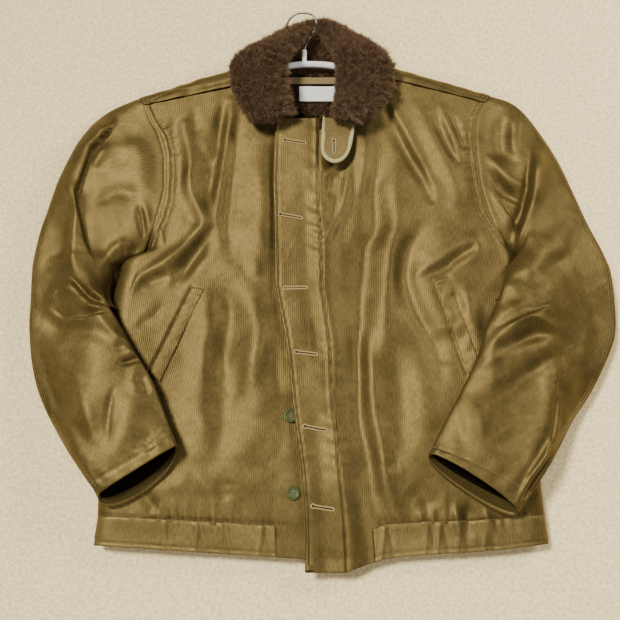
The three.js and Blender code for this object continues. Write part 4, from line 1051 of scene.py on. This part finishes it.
# Pocket welts
welts = {
    -1: {"top": (-153, 19, -139, 16), "foot": (-205, -96, -191, -106)},
    1: {"top": (163, 27, 180, 33), "foot": (203, -96, 220, -90)},
}
weltEdge = [(0.4, 0.4), (0.5, 1.3), (0.3, 2.0)]
for side, welt in welts.items():
    u, v = gridOf(14, 70)
    top, foot = welt["top"], welt["foot"]
    x = mix(mix(top[0], top[2], u), mix(foot[0], foot[2], u), v)
    y = mix(mix(top[1], top[3], u), mix(foot[1], foot[3], u), v)
    z = surfaceAt(side, x, y) + 1.6
    z = z + 0.5 * np.sin(math.pi * u) - 0.6 * hill(v - 0.05, 0.012) + 0.3 * np.sin(v * 34 + 4 * u)
    points = withRims(np.stack([x, y, z], -1), -1, dict.fromkeys(("v0", "v1", "u0", "u1"), weltEdge))
    piece = addMesh("pocketWelt" + sideName[side].capitalize(), paired(points), khakiCloth, -1)
    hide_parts("pocket_welt_" + sideName[side])
print("pocket welts made")

# Pile: base forms and hair
pile = {
    "collarRows": [
        (-24, 264, -44, 255, 52, 20), (-23, 266, -52, 250, 51, 30), (-24, 270, -72, 247, 51, 32),
        (-27, 280, -93, 268, 47, 32), (-31, 300, -106, 298, 46, 32), (-32, 325, -109, 328, 45.5, 32),
        (-28, 350, -94, 350, 42, 32), (-16, 372, -69, 369, 31, 31), (-2, 390, -38, 399, 16, 31),
        (8, 398, -6, 416, 9, 31), (11.5, 399, 10, 420, 9, 30), (15, 398, 25, 419, 10, 31),
        (20, 385, 48, 404, 17, 31), (28, 365, 75, 376, 33, 31), (33, 345, 99, 352, 44, 32),
        (36, 320, 113, 328, 46, 32), (35, 298, 112, 298, 46.5, 32), (33, 275, 101, 275, 49, 32),
        (30, 262, 82, 255, 55.6, 29), (29, 256, 64, 247, 56.2, 26), (30, 254, 60, 246, 56.8, 21)],
    "inset": 5.0, "rings": 230, "half": 115, "squareness": 0.6,
    "lockSize": 9, "lean": 0.24, "stray": 0.34, "sizes": (0.7, 1.12), "bend": 0.28, "lockBend": 0.25,
    "root": (0.036, 0.021, 0.010), "tip": (0.185, 0.106, 0.051), "lockDark": (0.62, 0.60, 0.58),
    "lockLight": (1.25, 1.18, 1.08), "sheenTint": (0.62, 0.42, 0.28),
}
hair = {
    "collar": {"count": 62000, "length": 9.0, "width": 0.6, "comb": (0.16, -0.12)},
    "stand": {"count": 11000, "length": 7, "width": 0.8, "comb": (0, 0)},
    "lining": {"count": 14000, "length": 6, "width": 0.8, "comb": (0, 0)},
}


def pileMaterial():
    material, tree, shader = newMaterial("brownPile")
    split = addNode(tree, "SeparateXYZ", {"Vector": clothPlaces(tree)})
    tip = ramp(tree, split.outputs["Y"], pile["root"], pile["tip"], 0, 1)
    lock = ramp(tree, split.outputs["X"], pile["lockDark"], pile["lockLight"], 0, 1)
    fill(tree, shader, {"Base Color": multiply(tree, tip, lock), "Roughness": 0.62, "Sheen Weight": 0.35,
                        "Sheen Roughness": 0.5, "Sheen Tint": (*pile["sheenTint"], 1)})
    return material


brownPile = pileMaterial()


def growHair(name, points, look, seed):
    # short curved blades rooted all over a grid of points
    rng = np.random.default_rng(seed)
    n = gridNormals(points)
    count = look["count"]
    a, b, c = points[:-1, :-1], points[1:, :-1], points[:-1, 1:]
    area = np.linalg.norm(np.cross(b - a, c - a), axis=-1).ravel()
    pick = np.sort(np.searchsorted(np.cumsum(area) / area.sum(), rng.random(count)))
    i, j = np.unravel_index(np.clip(pick, 0, area.size - 1), (points.shape[0] - 1, points.shape[1] - 1))
    fu, fv = rng.random(count)[:, None], rng.random(count)[:, None]

    def sample(grid):
        return (grid[i, j] * (1 - fu) * (1 - fv) + grid[i + 1, j] * fu * (1 - fv)
                + grid[i, j + 1] * (1 - fu) * fv + grid[i + 1, j + 1] * fu * fv)

    root, up = sample(points), unit(sample(n))
    # locks lean together, so the lean comes from slow noise
    x, y, lock = root[:, 0] + root[:, 2], root[:, 1], pile["lockSize"]
    lean = np.stack([softNoise(x, y, lock, seed + k) for k in range(3)], 1)
    combed = np.zeros(root.shape)
    combed[:, 0] = np.sign(root[:, 0] - 2) * look["comb"][0]
    combed[:, 1] = look["comb"][1]
    direction = unit(up + pile["lean"] * lean + pile["stray"] * rng.normal(size=(count, 3)) + combed)
    flat = np.sum(direction * up, 1, keepdims=True)
    direction = unit(np.where(flat < 0.15, direction + up * (0.35 - flat), direction))
    size = look["length"] * rng.uniform(*pile["sizes"], count)[:, None] * (1 + 0.10 * lean[:, :1])
    side = unit(np.cross(direction, rng.normal(size=(count, 3))))
    bend = np.cross(side, direction) * rng.normal(0.0, pile["bend"], (count, 1)) + pile["lockBend"] * lean
    mid = root + direction * size * 0.55 + bend * size * 0.16
    tip = root + direction * size * 0.95 + bend * size * 0.55
    half = side * look["width"] / 2
    verts = np.stack([root - half, root + half, mid - half * 0.8, mid + half * 0.8, tip], 1).reshape(-1, 3)
    k = np.arange(count) * 5
    tris = np.concatenate([np.stack([k + a, k + b, k + c], 1) for a, b, c in ((0, 1, 3), (0, 3, 2), (2, 3, 4))])
    tone = np.clip(0.5 + 0.22 * lean[:, 0] + 0.16 * rng.normal(size=count), 0, 1)
    grain = np.stack([np.repeat(tone, 5), np.tile([0.0, 0.0, 0.55, 0.55, 1.0], count)], 1)
    meshFrom(name, toFrame(verts), tris, grain, brownPile)


def addPileBase(name, node, grids):
    base = addMesh(name, paired(*grids, grainOf=pileGrain), brownPile, 1)
    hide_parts(node)


def collarSurface(t, a):
    ix, iy, ox, oy, base, thick = columnsAt(pile["collarRows"], t)
    inset = pile["inset"]
    phi = 2 * math.pi * a
    s = np.sin(phi)
    squeeze = np.clip(inset / np.maximum(np.hypot(ox - ix, oy - iy), 1e-6), 0, 0.42)
    w = mix(squeeze, 1 - squeeze, (1 - np.cos(phi)) / 2)
    half = np.maximum(thick / 2 - inset * 0.9, 1.5)
    z = base + thick / 2 + half * np.sign(s) * np.abs(s) ** pile["squareness"]
    return np.stack([mix(ix, ox, w), mix(iy, oy, w), z], -1)


def endCap(ring):
    centre = ring[:-1].mean(0)
    return np.stack([ring, mix(ring, centre, 0.5), np.broadcast_to(centre, ring.shape)])


collarPoints = collarSurface(*gridOf(np.linspace(0, len(pile["collarRows"]) - 1, pile["rings"]), 61))
addPileBase("collarPileBase", "collar",
            [collarPoints, endCap(collarPoints[0])[::-1], endCap(collarPoints[-1])])
growHair("collarPileRight", collarPoints[:pile["half"] + 1], hair["collar"], 201)
growHair("collarPileLeft", collarPoints[pile["half"]:], hair["collar"], 211)
print("collar made")

# Inside the neck: collar stand, lining, tape and label
neck = {
    "standRows": [(-40, 46, 336), (-38, 44, 352), (-33, 40, 366), (-24, 34, 378), (-10, 26, 390), (0, 20, 397.2)],
    "liningLow": 12.8, "liningRise": 9.2, "label": (-15, 36, 297, 319), "tape": (-34, 42, 322.5, 332.6),
}


def liningHeight(y):
    return neck["liningLow"] + neck["liningRise"] * smooth(235, 318, y)


u, v = gridOf(30, np.linspace(0, 5, 34))
row = rowAt(neck["standRows"], v)
stand = np.stack([mix(row[..., 0] + 1, row[..., 1] - 1, u), row[..., 2], 9.5 + 2 * np.sin(math.pi * u)], -1)
addPileBase("standPileBase", "collar_stand", [stand])
growHair("standPile", stand, hair["stand"], 221)
u, v = gridOf(40, 40)
y = mix(232, 333, v)
lining = np.stack([mix(-70, 74, u), y, liningHeight(y) - 5 - 2 * np.abs(2 * u - 1) ** 3], -1)
addPileBase("liningPileBase", "neck_lining", [lining])
growHair("liningPile", lining[8:32, :26], hair["lining"], 231)


def flatStrip(name, node, box, lift, material):
    u, v = gridOf(40, 14)
    x, y = mix(box[0], box[1], u), mix(box[2], box[3], v)
    points = np.stack([x, y, liningHeight(y) + lift + 0.5 * np.sin(u * 7) * (v - 0.3)], -1)
    points = withRims(points, 1, dict.fromkeys(("v0", "v1", "u0", "u1"), [(0.15, 0.2), (0.1, 0.7)]))
    piece = addMesh(name, paired(points), plain[material], 1)
    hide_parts(node)


flatStrip("neckLabel", "neck_label", neck["label"], 1.1, "whiteLabel")
flatStrip("neckTape", "neck_tape", neck["tape"], 1.9, "tanTape")
# the cloth that stands up behind the neck, from the back panel to the underside of the collar
nape = {
    "rows": [(-94, 327, 38), (-86, 334, 43), (-72, 345, 43), (-56, 360, 38), (-38, 378, 29), (-20, 394, 16),
             (-2, 404, 10), (11, 407, 9), (26, 405, 10), (42, 394, 17), (58, 376, 30), (72, 361, 38),
             (84, 349, 43), (96, 338, 43), (102, 333, 38)],
    "foot": 1.2, "belly": 3.0,
}
u, v = gridOf(np.linspace(0, len(nape["rows"]) - 1, 150), 24)
x, y, top = columnsAt(nape["rows"], u)
outward = unit(np.stack([x - 4, y - 300], -1))
belly = nape["belly"] * np.sin(math.pi * v) * top / 43
points = np.stack([x + outward[..., 0] * belly, y + outward[..., 1] * belly, mix(nape["foot"], top, v)], -1)
napePiece = addMesh("napeCloth", [(points, np.stack([x, points[..., 2]], -1))], khakiCloth, -1)
print("neck made")

# Throat strap
strap = {"rim": [(18, 259), (15, 212), (20, 195), (33, 188), (46, 194), (55, 212), (62, 256)],
         "middle": (37, 226), "edge": [(0.2, 0.5), (0.1, 2.4), (-6, 2.8), (-20, 2.8)], "inset": 3.6,
         "height": 59, "fall": 4.2, "bindingWidth": 2.9, "bindingHeight": 1.9, "bindingIn": 2.3, "bindingLow": 1.2}


def strapHeight(y):
    return strap["height"] - strap["fall"] * smooth(205, 244, y)


rim = rowAt(strap["rim"], np.linspace(0, 6, 90))
middle = np.array(strap["middle"], float)
loop = np.concatenate([rim, np.linspace(rim[-1], rim[0], 14)[1:]])
inner = middle + (loop - middle) * (1 - strap["inset"] / np.linalg.norm(loop - middle, axis=1))[:, None]
plan = middle + (inner[:, None, :] - middle) * np.linspace(0, 1, 26)[:, None]
z = strapHeight(plan[..., 1]) + 0.3 * np.sin(plan[..., 0] / 5) * np.cos(plan[..., 1] / 9)
strapPoints = withRim(np.concatenate([plan, z[..., None]], -1), "v1", -1, strap["edge"])
strapPiece = addMesh("throatStrap", paired(strapPoints), strapCloth, -1)
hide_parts("throat_strap")
ring = np.linspace(0, 2 * math.pi, 17)
out = unit(rim - middle)
tube = np.zeros((90, 17, 3))
centre = rim - out * strap["bindingIn"]
tube[..., :2] = centre[:, None] + out[:, None] * (strap["bindingWidth"] * np.cos(ring))[:, None]
tube[..., 2] = (strapHeight(rim[:, 1])[:, None] - strap["bindingLow"]
                + strap["bindingHeight"] * np.sign(np.sin(ring)) * np.abs(np.sin(ring)) ** 0.7)
bindingPiece = addMesh("strapBinding", paired(tube), plain["creamBinding"], 1)
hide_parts("strap_binding")
print("strap made")

# Thread: stitch rows and buttonholes
stitching = {
    "length": 2.6, "pitch": 3.5, "width": 1.0, "height": 0.6, "step": 3.0, "onShoulder": 43.4,
    "strapRows": ([(21, 236), (53, 236)], [(20, 229.5), (54, 229.5)],
                  [(22, 229), (20.5, 212), (24, 200), (33, 195), (42, 199), (49, 211), (53, 229)]),
}


def resample(line, pitch=stitching["step"]):
    line = np.array(line, float)
    run = runAlong(np.linalg.norm(np.diff(line, axis=0), axis=1))
    at = np.arange(0, run[-1], pitch)
    return np.stack([np.interp(at, run, column) for column in line.T], 1)


def addStitches(name, paths):
    # each stitch is a short raised lozenge of thread along its path
    verts, faces = [], []
    for path in paths:
        spots = resample(path, stitching["pitch"])
        for a, b in zip(spots[:-1], spots[1:]):
            d = unit(b - a)
            side = unit(np.cross(d, [0, 0, 1]))
            k = len(verts)
            start, stop = a, a + d * stitching["length"]
            mid = (start + stop) / 2
            across, rise = side * stitching["width"] / 2, np.cross(side, d) * stitching["height"]
            verts += [start, mid + across, stop, mid - across, mid + rise]
            faces += [[k, k + 1, k + 4], [k + 1, k + 2, k + 4], [k + 2, k + 3, k + 4], [k + 3, k, k + 4]]
    meshFrom(name, toFrame(verts), np.array(faces), None, plain["khakiThread"], False)


def liftedRow(line, heightAt):
    spots = resample(line)
    return np.column_stack([spots, heightAt(spots[:, 0], spots[:, 1])])


paths = []
for side in (-1, 1):
    for inward in (1.6, 8.5):
        paths.append(liftedRow(seam(side, "Armhole", -side * inward), lambda x, y: surfaceAt(side, x, y) + 0.5))
    for rise in (1.6, 7.5):
        row = seam(side, "Shoulder", 0, rise)
        paths.append(liftedRow(row, lambda x, y: np.full(len(x), stitching["onShoulder"])))
u = np.linspace(1.01, 2, 90)
for side in (-1, 1):
    for v, lift in ((0.16, 1.0), (0.965, 1.2)):
        paths.append(frontPoint(side, u, np.full(u.shape, v)) + [0, 0, lift])
v = np.linspace(0, 1, 240)
for u in (0.085, 0.985):
    paths.append(placketPoint(np.full(v.shape, u), v) + [0, 0, 0.25])
for line in stitching["strapRows"]:
    paths.append(liftedRow(line, lambda x, y: strapHeight(y) + 0.35))
addStitches("stitchRows", paths)
paths = []
for key in ("right", "left"):
    u = np.linspace(0.03, 0.97, 70)
    cuffRow = np.full(u.shape, len(sleeves[key]["rows"]) - 1 - 0.45)
    paths.append(sleevePoint(key, u, cuffRow, False) + [0, 0, 0.25])
    v = sleeveRows(key, 220)[14:-3]
    for place in (0.115, 0.15):
        paths.append(sleevePoint(key, np.full(v.shape, place), v, False) + [0, 0, 0.4])
addStitches("sleeveStitchRows", paths)
print("stitching made")

holes = {
    "places": [((-36, 225), (-7, 220)), ((-41, 118), (-12, 113)), ((-34, 16), (-5, 17)), ((-19, -69), (8, -72)),
               ((-8, -164), (20, -169)), ((2, -262), (28, -266))],
    "slitHalf": 1.5 * 0.55, "eye": 1.7, "thread": 0.95, "everyOther": 0.16, "around": 0.9, "within": 0.1,
}


def placketTop(x, y):
    left, right = placketEdges(y)
    v = (y - placket["foot"]) / (placket["top"] - placket["foot"])
    return placketPoint((x - left) / (right - left), v)[..., 2]


def keyholeOutline(start, stop, grow):
    start, stop = np.array(start, float), np.array(stop, float)
    size = np.linalg.norm(stop - start)
    d = (stop - start) / size
    side = np.array([-d[1], d[0]])
    eye, half = holes["eye"], holes["slitHalf"] + grow
    spots = [start + d * (eye + eye * math.cos(angle)) + side * (eye + grow) * math.sin(angle)
             + d * grow * math.cos(angle) for angle in np.linspace(math.radians(40), math.radians(320), 16)]
    spots += [start + d * size * t - side * half for t in np.linspace(0.2, 0.97, 16)]
    spots += [stop + d * (1.0 + grow) * math.cos(angle) + side * half * math.sin(angle)
              for angle in np.linspace(-math.pi / 2, math.pi / 2, 7)[1:-1]]
    spots += [start + d * size * t + side * half for t in np.linspace(0.97, 0.2, 16)]
    return np.array(spots)


def addButtonhole(name, start, stop, height, slitMaterial):
    outline = keyholeOutline(start, stop, holes["around"])
    spots = resample(np.concatenate([outline, outline[:1]]), 0.45)
    spots = np.concatenate([spots, spots[:1]])
    n = len(spots)
    d = np.roll(spots, -1, 0) - np.roll(spots, 1, 0)
    d[0] = d[-1] = spots[1] - spots[-2]
    d = unit(d)
    side = np.column_stack([-d[:, 1], d[:, 0]])
    angle = np.linspace(0, 2 * math.pi, 9)
    # every other turn of the thread stands out a little
    r = holes["thread"] * (1 + holes["everyOther"] * ((np.arange(n) % 2) * 2 - 1)[:, None])
    tube = np.zeros((n, 9, 3))
    tube[..., 0] = spots[:, :1] + side[:, :1] * r * np.cos(angle)
    tube[..., 1] = spots[:, 1:] + side[:, 1:] * r * np.cos(angle)
    tube[..., 2] = (height(spots[:, 0], spots[:, 1]) + 0.15)[:, None] + 0.7 * r * np.sin(angle)
    addMesh(name, paired(tube), plain["tanThread"], 1)
    slit = keyholeOutline(start, stop, holes["within"])
    points = np.concatenate([slit, slit.mean(0)[None]])
    verts = np.column_stack([points, height(points[:, 0], points[:, 1]) + 0.22])
    k = len(slit)
    faces = np.array([[i, (i + 1) % k, k] for i in range(k)])
    meshFrom(name + "Slit", toFrame(verts), faces, None, plain[slitMaterial], False)


for k, (start, stop) in enumerate(holes["places"]):
    addButtonhole(f"buttonhole{k + 1}", start, stop, placketTop, "slitShadedCloth")
addButtonhole("strapHole", (32, 222), (32.5, 202), lambda x, y: strapHeight(y) + 0.2, "slitShade")
print("buttonholes made")


def tubeAround(line, radii, sides, swell=1):
    d = unit(np.gradient(line, axis=0))
    side = unit(np.stack([d[:, 1], -d[:, 0], np.zeros(len(d))], 1))
    up = np.cross(side, d)
    angle = np.linspace(0, 2 * math.pi, sides + 1)[:, None]
    across, rise = radii[0] * side[:, None], radii[1] * up[:, None]
    return line[:, None] + swell * (across * np.cos(angle) + rise * np.sin(angle))


# Buttons
buttons = {
    "places": [(-21, -246), (-24, -150), (-15, -54), (-24, 32), (-30, 128), (-30, 228)],
    "profile": [(0, 0), (6.4, 0), (8.2, 0.5), (8.7, 1.3), (8.55, 2.1), (8.0, 2.7), (7.2, 2.85), (6.5, 2.55),
                (6.0, 2.05), (5.2, 1.8), (2.5, 1.75), (0, 1.75)],
    "holeOut": 2.3, "holeRadius": 0.95, "floor": 1.82, "threadLow": 1.9, "threadHigh": 2.35, "threadWidth": 0.32,
    "threadShift": 0.21,
}


def makeButton(number, bx, by):
    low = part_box(f"button_{number}")[0][2] * 1000
    angle = np.linspace(0, 2 * math.pi, 49)[:, None]
    out, up = columnsAt(buttons["profile"], np.linspace(0, len(buttons["profile"]) - 1, 45))
    points = np.stack([bx + np.cos(angle) * out, by + np.sin(angle) * out, low + up + 0 * angle], -1)
    piece = addMesh(f"button{number}", paired(points), plain["greenButton"], 1)
    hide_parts(f"button_{number}")
    spots, verts, faces = [], [], []
    for q in range(4):
        a = math.radians(45 + 90 * q + 12 * (number - 1))
        hx, hy = bx + buttons["holeOut"] * math.cos(a), by + buttons["holeOut"] * math.sin(a)
        spots.append(np.array([hx, hy]))
        start = len(verts)
        verts.append((hx, hy, low + buttons["floor"]))
        for i in range(12):
            b = 2 * math.pi * i / 12
            verts.append((hx + buttons["holeRadius"] * math.cos(b), hy + buttons["holeRadius"] * math.sin(b),
                          low + buttons["floor"]))
            faces.append([start, start + 1 + i, start + 1 + (i + 1) % 12])
    meshFrom(f"buttonEyes{number}", toFrame(verts), np.array(faces), None, plain["slitShade"],
             False)
    tubes = []
    for a, b in ((0, 1), (2, 3)):
        for shift in (-buttons["threadShift"], buttons["threadShift"]):
            first, second = spots[a] + shift, spots[b] + shift
            line = [[*first, low + buttons["threadLow"]], [*((first + second) / 2), low + buttons["threadHigh"]],
                    [*second, low + buttons["threadLow"]]]
            tubes.append(tubeAround(rowAt(line, np.linspace(0, 2, 12)), (buttons["threadWidth"],) * 2, 8))
    addMesh(f"buttonThread{number}", paired(*tubes), plain["khakiThread"], -1)


for k, place in enumerate(buttons["places"]):
    makeButton(k + 1, *place)
print("buttons made")

# Hanger
hanger = {
    "hanger_body": {"path": [(-186, 300, 13), (-120, 317, 19), (-84, 329, 23), (-50, 343, 27), (-20, 349, 29),
                             (4, 350, 29.4), (30, 348, 29), (58, 342, 27), (92, 331, 23), (130, 320, 19),
                             (200, 304, 13)], "radii": (4.6, 4.0), "material": "whiteHanger",
                    "slot": "hanger_white"},
    "hanger_stem": {"path": [(-8, 352.5, 29.4), (-8, 362, 29.4), (-8, 372, 29.4)], "radii": (3.6, 3.2),
                    "material": "whiteHanger", "slot": "hanger_white"},
    "hanger_hook": {"path": [(-8, 369, 29.4), (-6, 379, 30), (0, 389, 32), (6, 400, 34), (9, 411, 36),
                             (7, 419, 37), (0, 425, 37), (-14, 428, 35), (-27, 423, 31), (-33, 414, 27)],
                    "radii": (1.6, 1.6), "material": "hookWire", "slot": "hook_wire"},
}


def roundedTube(path, radii, rings=120, sides=24):
    line = rowAt(path, np.linspace(0, len(path) - 1, rings))
    k = np.arange(rings)
    swell = np.sqrt(np.clip((np.minimum(k, rings - 1 - k) + 0.4) / 3, 0, 1))
    tube = tubeAround(line, radii, sides, swell[:, None, None])
    caps = [np.stack([row, np.broadcast_to(row[:-1].mean(0), row.shape)]) for row in (tube[0], tube[-1])]
    return [tube, caps[0][::-1], caps[1]]


for node, look in hanger.items():
    tubes = paired(*roundedTube(look["path"], look["radii"]))
    piece = addMesh(node.replace("_", "") + "Round", tubes, plain[look["material"]], -1)
    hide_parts(node)
print("hanger made")

# Floor and light
room = {
    "reach": 9, "floor": -0.0006, "sky": 0.055, "skyColour": (1.0, 0.96, 0.88),
    "windowFrom": (-0.70, 0.44, 1.55), "windowStrength": 4.75, "windowAngle": 0.22,
    "fills": {
        "sideLight": {"place": (1.35, 0.75, 1.10), "target": (0.28, 0.12, 0), "size": (0.6, 0.5), "power": 22,
                      "colour": (1.0, 0.96, 0.89)},
        "leftLight": {"place": (-1.5, -0.05, 0.85), "target": (-0.2, 0, 0), "size": (0.8, 0.6), "power": 2,
                      "colour": (1.0, 0.96, 0.89)},
        "lowLight": {"place": (-0.05, -0.90, 1.35), "target": (0, -0.2, 0), "size": (0.6, 0.5), "power": 8,
                     "colour": (1.0, 0.96, 0.88)},
    },
}
floorMesh = bpy.data.meshes.new("floor")
corners = [(x * room["reach"], y * room["reach"], room["floor"]) for x, y in ((-1, -1), (1, -1), (1, 1), (-1, 1))]
floorMesh.from_pydata(corners, [], [[0, 1, 2, 3]])
floor = inScene(bpy.data.objects.new("floor", floorMesh))
floor.data.materials.append(plain["paleFloor"])


def addLight(name, kind, power, colour, away):
    # the lamp looks back along the direction it stands in
    light = bpy.data.lights.new(name, kind)
    light.energy = power
    light.color = colour
    lamp = inScene(bpy.data.objects.new(name, light))
    lamp.rotation_euler = away.to_track_quat("Z", "Y").to_euler()
    return lamp, light


sun = addLight("windowLight", "SUN", room["windowStrength"], room["skyColour"], Vector(room["windowFrom"]))[1]
sun.angle = room["windowAngle"]
for name, look in room["fills"].items():
    away = Vector(look["place"]) - Vector(look["target"])
    lamp, light = addLight(name, "AREA", look["power"], look["colour"], away)
    light.shape = "RECTANGLE"
    light.size, light.size_y = look["size"]
    lamp.location = look["place"]
world = bpy.data.worlds.new("paleRoom")
world.use_nodes = True
sky = world.node_tree.nodes["Background"]
fill(world.node_tree, sky, {"Color": (*room["skyColour"], 1), "Strength": room["sky"]})
bpy.context.scene.world = world
print("light ready")

print("scene done")
